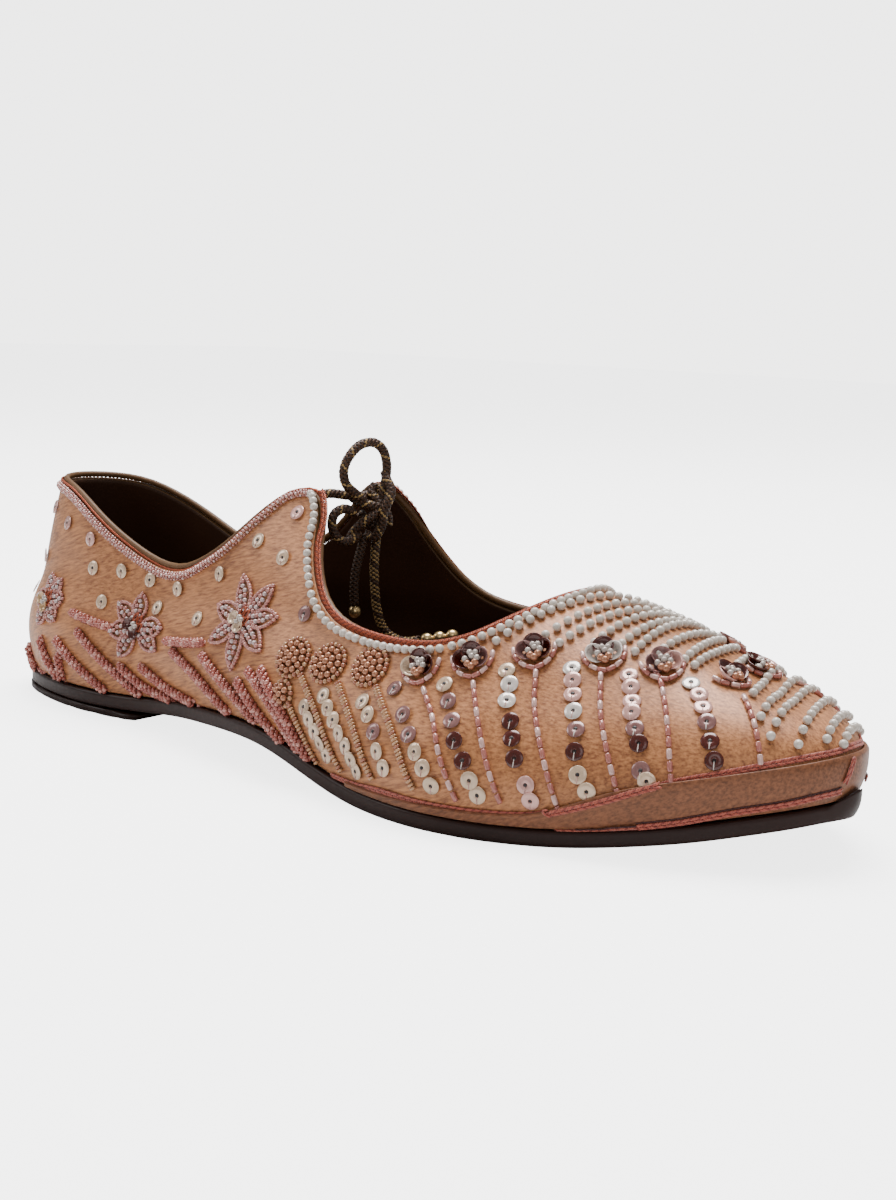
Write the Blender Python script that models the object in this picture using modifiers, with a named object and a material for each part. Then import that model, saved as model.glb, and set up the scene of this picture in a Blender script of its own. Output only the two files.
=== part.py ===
"""A bridal flat with a hollow satin upper, a thin leather sole and a tie cord over the instep.

Metres, +Z up, toe along +X. The wearer's outer side is -Y. The origin lies on the floor under
the middle of the shoe.
"""
import math
from collections import namedtuple

import bmesh
import bpy
import numpy as np

# Driving sizes of the sole
LENGTH = 0.2486            # outsole, back of the heel to the tip of the toe
BALL_WIDTH = 0.0856        # outsole across the ball
HEEL_WIDTH = 0.0484        # outsole across the heel
SOLE_THICK = 0.0036
LIFT_THICK = 0.0018        # heel lift under the back of the sole
LIFT_LENGTH = 0.0580       # heel lift, back to breast
BREAST_SLANT = 0.0020      # how far the breast leans forward from floor to sole
ARCH_HEIGHT = 0.0062       # underside of the sole over the floor at the waist
TOE_SPRING = 0.0098        # the same at the toe seam
EDGE = 0.0012              # the sole's edge stands out from the upper by this
EDGE_ROUND = 0.0004
NIB_REACH = 0.0022         # the sole's curled tip, beyond its plain edge
NIB_RISE = 0.0032
NIB_WIDTH = 0.0150
NIB_ROOT = 0.0013          # the curl starts this far outside the strip

# Driving sizes of the upper
WALL = 0.0020
INSTEP_HEIGHT = 0.0544     # ridge of the last over the floor, in front of the ears
COLLAR_BACK = 0.0576       # collar over the floor at the back of the heel
COLLAR_DIP = 0.0398        # the same at its lowest place behind the ears
EAR_HEIGHT = 0.0645        # tips of the two ears that carry the tie
THROAT_SIDE = 0.0367       # the same beside the throat
THROAT_LENGTH = 0.1824     # from the back of the heel to the front of the throat
BULGE = 0.0031             # how far the side swells over the sole
BULGE_HEIGHT = 0.0260      # height of that swell
HEEL_LEAN = 0.0008         # how far the back of the heel leans forward at LEAN_HEIGHT
LEAN_HEIGHT = 0.0450

# Driving sizes of the smaller pieces
INSOLE_THICK = 0.0015
STRIP_THICK = 0.0009       # satin strip round the toe
STRIP_ROUND = 0.0003
STRIP_HEIGHT = 0.0092
PIPING = 0.0018            # diameter of the binding on the collar's edge
CORD = 0.0024              # diameter of the tie cord
KNOT_SIZE = 0.0088         # height of the knot
KNOT_DEPTH = 0.68          # its other sizes, as shares of its height
KNOT_BREADTH = 0.90
BEAD = 0.0033              # diameter of a gold bead on the cord's ends
BEAD_CORE = 0.0012         # what is left of a bead string between two beads
GAP = 0.0003               # clearance between pieces that meet
BOX_SHIFT = 0.0006         # moves the model so that its box is centred on the origin
MIDDLE_Y = 0.0013          # the same across, because the ball swells to one side

# The last ends where the sole's edge and curled tip begin
LAST_LENGTH = LENGTH - 2 * EDGE - NIB_REACH
LAST_BALL = BALL_WIDTH - 2 * EDGE
LAST_HEEL = HEEL_WIDTH - 2 * EDGE
HEEL_X = EDGE - LENGTH / 2 + BOX_SHIFT
BACK_X = HEEL_X - EDGE

# Facets
SIDE_COLUMNS = 46          # from the back of the heel to the toe, each side
THROAT_COLUMNS = 30        # how many of them end on the collar
UPPER_ROWS = 12
ROW_CROWD = 1.25           # how much closer the rows are near the sole

# Outline of the last seen from above: half its width and the shift of its middle
# along and shift are shares of the last's length and ball, half is a share of the size named
Plan = namedtuple("Plan", "along size half shift")
PLAN = [
    Plan(0.000, "heel", 0.000, 0.000),
    Plan(0.022, "heel", 0.291, 0.000),
    Plan(0.129, "heel", 0.500, 0.000),
    Plan(0.272, "heel", 0.498, 0.000),
    Plan(0.425, "ball", 0.372, 0.000),
    Plan(0.568, "ball", 0.448, -0.008),
    Plan(0.690, "ball", 0.500, -0.016),
    Plan(0.780, "ball", 0.452, -0.002),
    Plan(0.860, "ball", 0.374, 0.014),
    Plan(0.926, "ball", 0.288, 0.024),
    Plan(0.980, "ball", 0.152, 0.018),
    Plan(1.000, "ball", 0.000, 0.010),
]

# Underside of the sole over the floor, as shares of the heel lift, the arch and the toe spring
Under = namedtuple("Under", "along lift arch spring")
UNDERSIDE = [
    Under(0.00, 1.00, 0.00, 0.00),
    Under(0.12, 1.00, 0.00, 0.00),
    Under(0.22, 1.00, 0.07, 0.00),
    Under(0.34, 0.30, 0.78, 0.00),
    Under(0.46, 0.00, 1.00, 0.00),
    Under(0.58, 0.00, 0.13, 0.00),
    Under(0.62, 0.00, 0.00, 0.00),
    Under(0.75, 0.00, 0.00, 0.00),
    Under(0.82, 0.00, 0.00, 0.10),
    Under(0.90, 0.00, 0.00, 0.42),
    Under(0.96, 0.00, 0.00, 0.77),
    Under(1.00, 0.00, 0.00, 1.00),
]

# Ridge of the last, where the two sides' ribs meet, as shares of its length and instep height
Ridge = namedtuple("Ridge", "along height")
RIDGE = [
    Ridge(0.110, 1.802),
    Ridge(0.405, 1.442),
    Ridge(0.629, 1.000),
    Ridge(0.813, 0.810),
    Ridge(0.925, 0.586),
]
SPINE_BACK = 0.110         # where the last's ribs gather, as shares of its length
SPINE_FRONT = 0.925

# How square the ribs are: both are powers of a rounded corner
Square = namedtuple("Square", "along top side")
SQUARE = [
    Square(0.00, 1.72, 1.82),
    Square(0.80, 1.72, 1.82),
    Square(0.90, 1.95, 1.95),
    Square(1.00, 2.45, 2.30),
]

# The collar's edge from the side, behind the throat: share of the length and of a named height
Collar = namedtuple("Collar", "along height share")
COLLAR = [
    Collar(0.090, COLLAR_BACK, 0.975),
    Collar(0.275, COLLAR_DIP, 1.000),
    Collar(0.346, COLLAR_DIP, 1.172),
    Collar(0.442, EAR_HEIGHT, 1.000),
    Collar(0.471, EAR_HEIGHT, 0.902),
    Collar(0.477, EAR_HEIGHT, 0.818),
    Collar(0.527, THROAT_SIDE, 1.039),
    Collar(0.671, THROAT_SIDE, 1.000),
]

# Height of the satin strip round the toe
Strip = namedtuple("Strip", "along height")
STRIP = [
    Strip(0.60, 0.11),
    Strip(0.70, 0.19),
    Strip(0.78, 0.28),
    Strip(0.81, 0.42),
    Strip(0.84, 0.74),
    Strip(0.88, 0.95),
    Strip(1.00, 1.00),
]

# Routes of the tie cord, measured from the back of the heel, the middle line and the floor
TIE_BAR = [
    (0.1093, -0.0106, 0.0627), (0.1108, -0.0076, 0.0632), (0.1122, -0.0038, 0.0627),
    (0.1134, 0.0005, 0.0623), (0.1136, 0.0042, 0.0627), (0.1124, 0.0074, 0.0632),
    (0.1097, 0.0104, 0.0629),
]
UPPER_LOOP = [
    (0.1170, 0.0034, 0.0616), (0.1174, 0.0041, 0.0640), (0.1176, 0.0047, 0.0670),
    (0.1177, 0.0047, 0.0704), (0.1172, 0.0037, 0.0738), (0.1164, 0.0010, 0.0756),
    (0.1154, -0.0027, 0.0750), (0.1146, -0.0057, 0.0722), (0.1142, -0.0070, 0.0688),
    (0.1146, -0.0063, 0.0656), (0.1152, -0.0037, 0.0634), (0.1158, -0.0012, 0.0617),
]
LOWER_LOOP = [
    (0.1147, -0.0034, 0.0588), (0.1139, -0.0062, 0.0597), (0.1132, -0.0087, 0.0585),
    (0.1130, -0.0093, 0.0559), (0.1134, -0.0082, 0.0532), (0.1141, -0.0061, 0.0517),
    (0.1149, -0.0038, 0.0522), (0.1155, -0.0019, 0.0537),
]
FRONT_END = [
    (0.1170, 0.0026, 0.0526), (0.1171, 0.0022, 0.0495), (0.1171, 0.0020, 0.0450),
    (0.1172, 0.0024, 0.0395), (0.1175, 0.0032, 0.0343), (0.1184, 0.0046, 0.0298),
    (0.1202, 0.0070, 0.0272), (0.1225, 0.0094, 0.0265), (0.1247, 0.0111, 0.0270),
]
BACK_END = [
    (0.1152, 0.0001, 0.0525), (0.1150, -0.0008, 0.0492), (0.1148, -0.0021, 0.0446),
    (0.1149, -0.0027, 0.0400), (0.1151, -0.0026, 0.0362),
]
KNOT = (0.1162, 0.0010, 0.0572)
CORD_STEPS = 2             # points of a cord's tube between two points of its route
NEAR, FAR = -1, 1

SATIN = ("satin", (0.49, 0.27, 0.17), 0.45, 0.0)
LEATHER = ("sole leather", (0.045, 0.014, 0.009), 0.35, 0.0)
LINING = ("lining leather", (0.09, 0.045, 0.018), 0.6, 0.0)
COPPER = ("copper piping", (0.42, 0.15, 0.08), 0.4, 0.3)
BRAID = ("braided cord", (0.07, 0.035, 0.02), 0.6, 0.1)
GOLD = ("gold bead", (0.75, 0.52, 0.24), 0.3, 0.9)

for old in list(bpy.data.objects):
    bpy.data.objects.remove(old)
shoe = bpy.data.collections.new("bridal_shoe")
bpy.context.scene.collection.children.link(shoe)


def smooth(points, steps, closed=False):
    """A centripetal Catmull-Rom curve through points, with steps pieces between two of them."""
    p = np.array(points, float)
    if closed:
        p = np.vstack([p[-1], p, p[0], p[1]])
    else:
        p = np.vstack([2 * p[0] - p[1], p, 2 * p[-1] - p[-2]])
    curve = []
    for a, b, c, d in zip(p[:-3], p[1:-2], p[2:-1], p[3:]):
        t1 = math.sqrt(np.linalg.norm(b - a))
        t2 = t1 + math.sqrt(np.linalg.norm(c - b))
        t3 = t2 + math.sqrt(np.linalg.norm(d - c))
        for t in np.linspace(t1, t2, steps, endpoint=False):
            ab = a + (b - a) * t / t1
            bc = b + (c - b) * (t - t1) / (t2 - t1)
            cd = c + (d - c) * (t - t2) / (t3 - t2)
            abc = ab + (bc - ab) * t / t2
            bcd = bc + (cd - bc) * (t - t1) / (t3 - t1)
            curve.append(abc + (bcd - abc) * (t - t1) / (t2 - t1))
    if not closed:
        curve.append(p[-2])
    return np.array(curve)


def read(curve, along):
    return np.interp(along, curve[:, 0], curve[:, 1])


WIDTH = {"heel": LAST_HEEL, "ball": LAST_BALL}
FINE = 40
half_sides = [(row.along * LAST_LENGTH, row.half * WIDTH[row.size]) for row in PLAN]
mirrored_back = (half_sides[1][0], -half_sides[1][1])
mirrored_front = (half_sides[-2][0], -half_sides[-2][1])
half_plan = smooth([mirrored_back] + half_sides + [mirrored_front], FINE)[FINE:-FINE]
plan_steps = np.linalg.norm(np.diff(half_plan, axis=0), axis=1)
plan_reach = np.concatenate([[0], np.cumsum(plan_steps)])
PERIMETER = plan_reach[-1]
middle_curve = smooth([(row.along * LAST_LENGTH, row.shift * LAST_BALL) for row in PLAN], FINE)
underside_curve = smooth([
    (row.along * LAST_LENGTH,
     row.lift * (LIFT_THICK + GAP) + row.arch * ARCH_HEIGHT + row.spring * TOE_SPRING)
    for row in UNDERSIDE], FINE)
ridge_curve = smooth([(row.along * LAST_LENGTH, row.height * INSTEP_HEIGHT) for row in RIDGE], FINE)
ridge_slope = np.column_stack([ridge_curve[:, 0], np.gradient(ridge_curve[:, 1], ridge_curve[:, 0])])
square_x = [row.along * LAST_LENGTH for row in SQUARE]
square_top = [row.top for row in SQUARE]
square_side = [row.side for row in SQUARE]
strip_curve = smooth([(row.along * LAST_LENGTH, row.height * STRIP_HEIGHT) for row in STRIP], FINE)


def underside(x):
    """Height of the sole's underside, x measured along the last."""
    return np.maximum(read(underside_curve, x), 0)


def feather(x):
    """Height of the line where the upper meets the sole, with the clearance between them."""
    return underside(x) + SOLE_THICK + GAP


def outline(around):
    """The last's outline: around is 0 at the heel, 1 at the toe and 2 at the heel again."""
    around = np.asarray(around, float) % 2
    side = np.where(around > 1, FAR, NEAR)
    reach = np.where(around > 1, 2 - around, around) * PERIMETER
    x = np.interp(reach, plan_reach, half_plan[:, 0])
    y = read(middle_curve, x) + side * np.interp(reach, plan_reach, half_plan[:, 1])
    return np.stack([x, y], -1)


def offset_outline(around, out):
    """The outline moved outwards by out."""
    step = 0.004
    run = outline(np.asarray(around) + step) - outline(np.asarray(around) - step)
    run /= np.linalg.norm(run, axis=-1, keepdims=True)
    outwards = np.stack([run[..., 1], -run[..., 0]], -1)
    return outline(around) + outwards * np.asarray(out)[..., None]


def spine(x):
    """Where the rib that starts at x ends on the ridge."""
    return SPINE_BACK * LAST_LENGTH + (SPINE_FRONT - SPINE_BACK) * x


def rib(around, climb, proud=0.0):
    """Points on the last: climb is 0 at the sole and 1 on the ridge, proud is off the surface."""
    around, climb = np.broadcast_arrays(np.asarray(around, float), np.asarray(climb, float))
    foot = outline(around)
    top_x = spine(foot[..., 0])
    top = np.stack([top_x, read(middle_curve, top_x)], -1)
    low = feather(foot[..., 0])
    rise = read(ridge_curve, top_x) - low
    top_power = np.interp(foot[..., 0], square_x, square_top)
    side_power = np.interp(foot[..., 0], square_x, square_side)
    inwards = 1 - np.cos(climb * math.pi / 2) ** (2 / top_power)
    height = rise * np.sin(climb * math.pi / 2) ** (2 / side_power)
    # A rib leaves the ridge with the ridge's own slope, so that no groove runs along it
    run = foot[..., 0] - top_x
    height = height + read(ridge_slope, top_x) * run * (1 - inwards) * inwards ** 2
    out = foot - top
    out /= np.linalg.norm(out, axis=-1, keepdims=True)
    swell = BULGE * np.sin(math.pi * np.clip(height / np.minimum(BULGE_HEIGHT, rise), 0, 1))
    flat = foot + (top - foot) * inwards[..., None] + out * swell[..., None]
    near_back = np.clip(1 - foot[..., 0] / (0.2 * LAST_LENGTH), 0, 1)
    lean = HEEL_LEAN * near_back * np.clip(height / LEAN_HEIGHT, 0, 2)
    points = np.stack([flat[..., 0] + lean, flat[..., 1], low + height], -1)
    if np.any(proud):
        points = points + surface_normal(around, climb) * np.asarray(proud)[..., None]
    return points


def surface_normal(around, climb):
    step = 0.004
    along = rib(around + step, climb) - rib(around - step, climb)
    up = rib(around, np.clip(climb + step, 0, 1)) - rib(around, np.clip(climb - step, 0, 1))
    normal = np.cross(along, up)
    return normal / np.linalg.norm(normal, axis=-1, keepdims=True)


def climb_to(around, height):
    """The climb of a rib that is at height over the floor."""
    foot_x = outline(around)[..., 0]
    low = feather(foot_x)
    rise = read(ridge_curve, spine(foot_x)) - low
    share = np.clip((height - low) / rise, 0, 1)
    side_power = np.interp(foot_x, square_x, square_side)
    return np.arcsin(share ** (side_power / 2)) * 2 / math.pi


def place(points):
    """From the last's own frame to the model's."""
    return np.array(points, float) + (HEEL_X, MIDDLE_Y, 0)


def finish_mesh(name, mesh, look, sharp=40):
    """Give a mesh its object, its material and its shading."""
    label, colour, roughness, metallic = look
    material = bpy.data.materials.new(f"{name} {label}")
    material.use_nodes = True
    shader = material.node_tree.nodes["Principled BSDF"]
    shader.inputs["Base Color"].default_value = (*colour, 1)
    shader.inputs["Roughness"].default_value = roughness
    shader.inputs["Metallic"].default_value = metallic
    mesh.materials.append(material)
    piece = bpy.data.objects.new(name, mesh)
    shoe.objects.link(piece)
    if hasattr(mesh, "shade_smooth"):
        mesh.shade_smooth()
        mesh.set_sharp_from_angle(angle=math.radians(sharp))
    return piece


def loft(name, rows, look, wrap_rows=False, ends=False):
    """Skin rows of points that each run once around, zipping the points that coincide."""
    made = bmesh.new()
    grid = [[made.verts.new(point) for point in row] for row in rows]
    pairs = list(zip(grid[:-1], grid[1:]))
    if wrap_rows:
        pairs.append((grid[-1], grid[0]))
    for low, high in pairs:
        if ends:
            columns = range(len(low) - 1)
        else:
            columns = range(-1, len(low) - 1)
        for k in columns:
            made.faces.new((low[k], low[k + 1], high[k + 1], high[k]))
    if ends:
        made.faces.new([row[0] for row in grid])
        made.faces.new([row[-1] for row in reversed(grid)])
    bmesh.ops.remove_doubles(made, verts=made.verts, dist=1e-6)
    bmesh.ops.recalc_face_normals(made, faces=made.faces)
    mesh = bpy.data.meshes.new(name)
    made.to_mesh(mesh)
    made.free()
    return finish_mesh(name, mesh, look)


def collar_marks():
    """Places round and up the last of the collar's near edge, heel to throat, evenly spaced."""
    back_height = COLLAR_BACK
    back_x = rib(0.0, climb_to(0.0, back_height))[0]
    side = [(back_x, back_height)]
    side += [(row.along * LAST_LENGTH, row.height * row.share) for row in COLLAR]
    throat_x = THROAT_LENGTH - EDGE
    side.append((throat_x, float(read(ridge_curve, throat_x))))
    edge = smooth(side, 10)
    throat_foot = (throat_x - SPINE_BACK * LAST_LENGTH) / (SPINE_FRONT - SPINE_BACK)
    scan = np.linspace(0, 1, 2001)
    throat_around = float(np.interp(throat_foot, outline(scan)[:, 0], scan))
    marks = [(0.0, float(climb_to(0.0, back_height)))]
    for x, z in edge[1:-1]:
        climbs = climb_to(scan, z)
        found = float(np.interp(x, rib(scan, climbs)[:, 0], scan))
        marks.append((found, float(climb_to(found, z))))
    marks.append((throat_around, 1.0))
    marks = np.array(marks)
    places = rib(marks[:, 0], marks[:, 1])
    reach = np.concatenate([[0], np.cumsum(np.linalg.norm(np.diff(places, axis=0), axis=1))])
    even = np.linspace(0, reach[-1], THROAT_COLUMNS + 1)
    around = np.interp(even, reach, marks[:, 0])
    climb = np.interp(even, reach, marks[:, 1])
    return around, climb


def both_sides(near):
    """Columns of the near side followed by their mirror images, as one closed run around."""
    return np.concatenate([near, 2 - near[-2:0:-1]])


collar_around, collar_climb = collar_marks()
throat_around = collar_around[-1]
# Columns crowd towards the toe, where the outline turns fastest
front_steps = np.linspace(0, 1, SIDE_COLUMNS - THROAT_COLUMNS + 1)[1:]
front_around = throat_around + (1 - throat_around) * (1 - (1 - front_steps) ** 1.4)
back_steps = np.linspace(0, 1, THROAT_COLUMNS + 1)
foot_around = np.concatenate([throat_around * back_steps, front_around])
top_around = np.concatenate([collar_around, front_around])
top_climb = np.concatenate([collar_climb, np.ones(len(front_around))])
around_all = both_sides(foot_around)


def make_upper():
    rows = []
    for share in np.linspace(0, 1, UPPER_ROWS + 1) ** ROW_CROWD:
        near = foot_around + (top_around - foot_around) * share
        climb = top_climb * share
        rows.append(place(rib(both_sides(near), np.concatenate([climb, climb[-2:0:-1]]))))
    upper = loft("upper", rows, SATIN)
    wall = upper.modifiers.new("wall", "SOLIDIFY")
    wall.thickness = WALL
    wall.offset = -1
    wall.use_even_offset = True
    return upper


def disc_rows(out, drop, shares, levels):
    """Rows from the middle line of a sole-shaped sheet to its outline, offset by out."""
    edge = offset_outline(around_all, out)
    foot_x = outline(around_all)[:, 0]
    top_x = spine(foot_x)
    middle = np.stack([top_x, read(middle_curve, top_x)], -1)
    rows = []
    for share in shares:
        flat = edge + (middle - edge) * share
        height = levels(np.clip(flat[:, 0], 0, LAST_LENGTH)) + drop
        rows.append(place(np.column_stack([flat, height])))
    return rows


def sole_top(x):
    return feather(x) - GAP


def nib(around):
    """How much of the curled tip there is at each place round the sole."""
    from_toe = np.abs(around - 1) * PERIMETER / (NIB_WIDTH / 2)
    return np.clip(1 - from_toe ** 2, 0, 1) ** 2


def edge_row(out, heights, lift):
    flat = offset_outline(around_all, out)
    return place(np.column_stack([flat, heights(outline(around_all)[:, 0]) + lift]))


def make_outsole():
    curl = nib(around_all)
    inner = (1, 0.6, 0.25)
    plain = np.full(len(around_all), EDGE - EDGE_ROUND)
    rows = disc_rows(np.zeros(len(around_all)), 0, inner + (0,), sole_top)
    rows.append(edge_row(plain + NIB_ROOT * curl, sole_top, 0))
    rows.append(edge_row(EDGE + NIB_REACH * curl, sole_top, NIB_RISE * curl - EDGE_ROUND))
    rows.append(edge_row(EDGE + NIB_REACH * curl, underside, 0.8 * NIB_RISE * curl + EDGE_ROUND))
    rows.append(edge_row(plain + NIB_ROOT * curl, underside, 0))
    rows += reversed(disc_rows(np.full(len(around_all), -2 * EDGE), 0, inner + (0,), underside))
    return loft("outsole", rows, LEATHER)


def make_insole():
    out = np.full(len(around_all), -(WALL + 2 * GAP))
    rows = disc_rows(out, INSOLE_THICK, (1, 0.6, 0.25, 0), feather)
    rows += reversed(disc_rows(out, 0, (1, 0.6, 0.25, 0), feather))
    return loft("insole", rows, LINING)


def make_heel_lift():
    """The lift follows the sole's outline back from its breast."""
    scan = np.linspace(0, 1, 2001)
    levels = []
    for height, inset, lean in ((0, EDGE_ROUND, 0), (EDGE_ROUND, 0, 0), (LIFT_THICK, 0, BREAST_SLANT)):
        breast_x = LIFT_LENGTH - EDGE + lean
        breast = float(np.interp(breast_x, outline(scan)[:, 0], scan))
        run = np.linspace(-breast, breast, THROAT_COLUMNS + 1)
        flat = offset_outline(run, np.full(len(run), EDGE - inset))
        levels.append(place(np.column_stack([flat, np.full(len(run), height)])))
    made = bmesh.new()
    rings = [[made.verts.new(point) for point in level] for level in levels]
    made.faces.new(rings[0])
    made.faces.new(rings[-1])
    for low, high in zip(rings[:-1], rings[1:]):
        for k in range(-1, len(low) - 1):
            made.faces.new((low[k], low[k + 1], high[k + 1], high[k]))
    bmesh.ops.recalc_face_normals(made, faces=made.faces)
    mesh = bpy.data.meshes.new("heel_lift")
    made.to_mesh(mesh)
    made.free()
    return finish_mesh("heel_lift", mesh, LEATHER)


def make_toe_strip():
    """The folded satin strip lies on the upper's own surface, from each waist round the toe."""
    scan = np.linspace(0, 1, 2001)
    start_x = STRIP[0].along * LAST_LENGTH
    start = float(np.interp(start_x, outline(scan)[:, 0], scan))
    near = np.concatenate([[start], foot_around[foot_around > start]])
    run = np.concatenate([near, 2 - near[-2::-1]])
    foot_x = outline(run)[:, 0]
    low = feather(foot_x)
    tall = read(strip_curve, foot_x)
    outside = GAP + STRIP_THICK
    profile = [(0.0, GAP), (0.25, GAP), (0.5, GAP), (0.75, GAP), (1.0, GAP),
               (1.0, outside - STRIP_ROUND), (0.92, outside), (0.5, outside), (0.06, outside)]
    rows = []
    for share, proud in profile:
        height = low + GAP + tall * share
        rows.append(place(rib(run, climb_to(run, height), np.full(len(run), proud))))
    return loft("toe_strip", rows, SATIN, wrap_rows=True, ends=True)


def make_tube(name, points, diameter, look, closed=False):
    """A cord or piping: a curve with a round bevel and filled caps."""
    curve = bpy.data.curves.new(name, "CURVE")
    curve.dimensions = "3D"
    curve.bevel_depth = diameter / 2
    curve.bevel_resolution = 2
    curve.use_fill_caps = True
    spline = curve.splines.new("POLY")
    spline.points.add(len(points) - 1)
    for knot, point in zip(spline.points, points):
        knot.co = (*point, 1)
    spline.use_cyclic_u = closed
    return finish_mesh(name, curve, look)


def make_binding():
    """Piping that sits on the collar's rim, in the middle of the wall."""
    around = both_sides(collar_around)
    climb = np.concatenate([collar_climb, collar_climb[-2:0:-1]])
    step = 0.01
    rim = rib(around, climb)
    normal = surface_normal(around, np.minimum(climb, 1 - step))
    run = np.roll(rim, -1, axis=0) - np.roll(rim, 1, axis=0)
    away = np.cross(normal, run)
    away /= np.linalg.norm(away, axis=-1, keepdims=True)
    centre = rim - normal * WALL / 2 + away * (PIPING / 2 + GAP)
    return make_tube("collar_binding", place(centre), PIPING, COPPER, closed=True)


def shift_route(route):
    """From the back of the sole to the model's frame."""
    return np.array(route) + (BACK_X, MIDDLE_Y, 0)


def make_cord(name, route):
    return make_tube(name, smooth(shift_route(route), CORD_STEPS), CORD, BRAID)


def make_knot():
    """A rounded knot, wider across than it is deep."""
    made = bmesh.new()
    bmesh.ops.create_uvsphere(made, u_segments=16, v_segments=10, radius=KNOT_SIZE / 2)
    bmesh.ops.scale(made, vec=(KNOT_DEPTH, KNOT_BREADTH, 1.0), verts=made.verts)
    bmesh.ops.translate(made, vec=shift_route([KNOT])[0], verts=made.verts)
    mesh = bpy.data.meshes.new("knot")
    made.to_mesh(mesh)
    made.free()
    return finish_mesh("knot", mesh, BRAID)


def make_beads(name, route, count):
    """A string of round beads that goes on from the end of a cord."""
    last, end = shift_route(route)[-2:]
    ahead = (end - last) / np.linalg.norm(end - last)
    profile = []
    for bead in range(count):
        for turn in np.linspace(math.radians(22), math.radians(158), 7):
            along = GAP + (bead + 0.5) * BEAD * 0.96 - math.cos(turn) * BEAD / 2
            profile.append((max(math.sin(turn) * BEAD / 2, BEAD_CORE / 2), along))
    made = bmesh.new()
    corners = [made.verts.new((radius, 0, along)) for radius, along in profile]
    first = made.verts.new((0, 0, profile[0][1]))
    final = made.verts.new((0, 0, profile[-1][1]))
    chain = [first] + corners + [final]
    for low, high in zip(chain[:-1], chain[1:]):
        made.edges.new((low, high))
    bmesh.ops.spin(made, geom=made.verts[:] + made.edges[:], cent=(0, 0, 0), axis=(0, 0, 1),
                   angle=math.tau, steps=10, use_merge=True)
    bmesh.ops.remove_doubles(made, verts=made.verts, dist=1e-6)
    bmesh.ops.recalc_face_normals(made, faces=made.faces)
    mesh = bpy.data.meshes.new(name)
    made.to_mesh(mesh)
    made.free()
    side = np.cross(ahead, (0, 0, 1.0))
    side /= np.linalg.norm(side)
    turned = np.stack([side, np.cross(ahead, side), ahead])
    for vertex in mesh.vertices:
        vertex.co = end + np.array(vertex.co) @ turned
    return finish_mesh(name, mesh, GOLD)


make_upper()
make_outsole()
make_insole()
make_heel_lift()
make_toe_strip()
make_binding()
make_knot()
make_cord("tie_bar", TIE_BAR)
make_cord("loop_upper", UPPER_LOOP)
make_cord("loop_lower", LOWER_LOOP)
make_cord("end_front", FRONT_END)
make_cord("end_back", BACK_END)
make_beads("beads_front", FRONT_END, 3)
make_beads("beads_back", BACK_END, 1)
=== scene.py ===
# %% [markdown]
# A bridal flat: satin over leather, a cut throat with two ears, and a braided tie. This lesson
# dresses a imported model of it. The model is a fixed frame of plain solids, and everything here is
# placed in the same metres, with +X from heel to toe and +Z up.
#
# The script is a set of short cells. Each one makes one piece or one finish, and prints what it made.

# %% Load the fixed frame
import math

import bmesh
import bpy
import numpy as np
from mathutils import Matrix, Vector
from mathutils.bvhtree import BVHTree


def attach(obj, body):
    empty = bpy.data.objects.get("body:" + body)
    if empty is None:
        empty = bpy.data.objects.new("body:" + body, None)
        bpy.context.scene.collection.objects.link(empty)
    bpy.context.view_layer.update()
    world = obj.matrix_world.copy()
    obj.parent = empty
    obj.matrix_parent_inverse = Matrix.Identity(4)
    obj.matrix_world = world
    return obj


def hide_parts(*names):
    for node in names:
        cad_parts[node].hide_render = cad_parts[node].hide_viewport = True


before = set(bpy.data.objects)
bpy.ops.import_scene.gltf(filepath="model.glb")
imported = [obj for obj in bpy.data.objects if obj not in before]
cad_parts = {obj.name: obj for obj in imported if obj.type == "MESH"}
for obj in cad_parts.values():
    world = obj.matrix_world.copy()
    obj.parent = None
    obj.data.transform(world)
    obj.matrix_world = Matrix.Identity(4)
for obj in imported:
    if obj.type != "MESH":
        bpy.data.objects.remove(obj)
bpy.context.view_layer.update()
print("solids:", ", ".join(sorted(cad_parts)))

# %% [markdown]
# The camera comes first, because the small ornament is set out through it: a place is picked in the
# photo's own frame of 896 by 1200 and dropped onto the shoe along the camera's ray. The camera
# looks down a little onto the outer side of the shoe, and it is rolled by two degrees. It could be
# placed by eye, but these numbers were fitted to the sole's outline, so that each place that is
# picked in the photo lands where it belongs on the shoe.

# %% The camera
MM = 0.001
PHOTO_WIDE, PHOTO_TALL = 896, 1200
FOCAL_PIXELS = 1748            # the lens, measured in the photo's pixels
EYE = Vector((0.2694, -0.3179, 0.1073))
AZIMUTH = math.radians(38.19)  # 0 would look straight at the outer side, along +Y
ELEVATION = math.radians(9.34)
ROLL = math.radians(2.23)
SENSOR = 36                    # the sensor's longer side, in millimetres

ahead = Vector((-math.sin(AZIMUTH) * math.cos(ELEVATION), math.cos(AZIMUTH) * math.cos(ELEVATION),
                -math.sin(ELEVATION)))
level_right = Vector((math.cos(AZIMUTH), math.sin(AZIMUTH), 0))
level_up = level_right.cross(ahead)
right = level_right * math.cos(ROLL) + level_up * math.sin(ROLL)
up = level_up * math.cos(ROLL) - level_right * math.sin(ROLL)

camera = bpy.data.objects.new("camera", bpy.data.cameras.new("camera"))
camera.data.sensor_width = SENSOR
camera.data.lens = FOCAL_PIXELS / PHOTO_TALL * SENSOR
turned = Matrix((right, up, -ahead)).transposed()
camera.matrix_world = Matrix.Translation(EYE) @ turned.to_4x4()
bpy.context.scene.collection.objects.link(camera)
bpy.context.scene.camera = camera
print("camera lens", round(camera.data.lens, 1), "mm")


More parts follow.
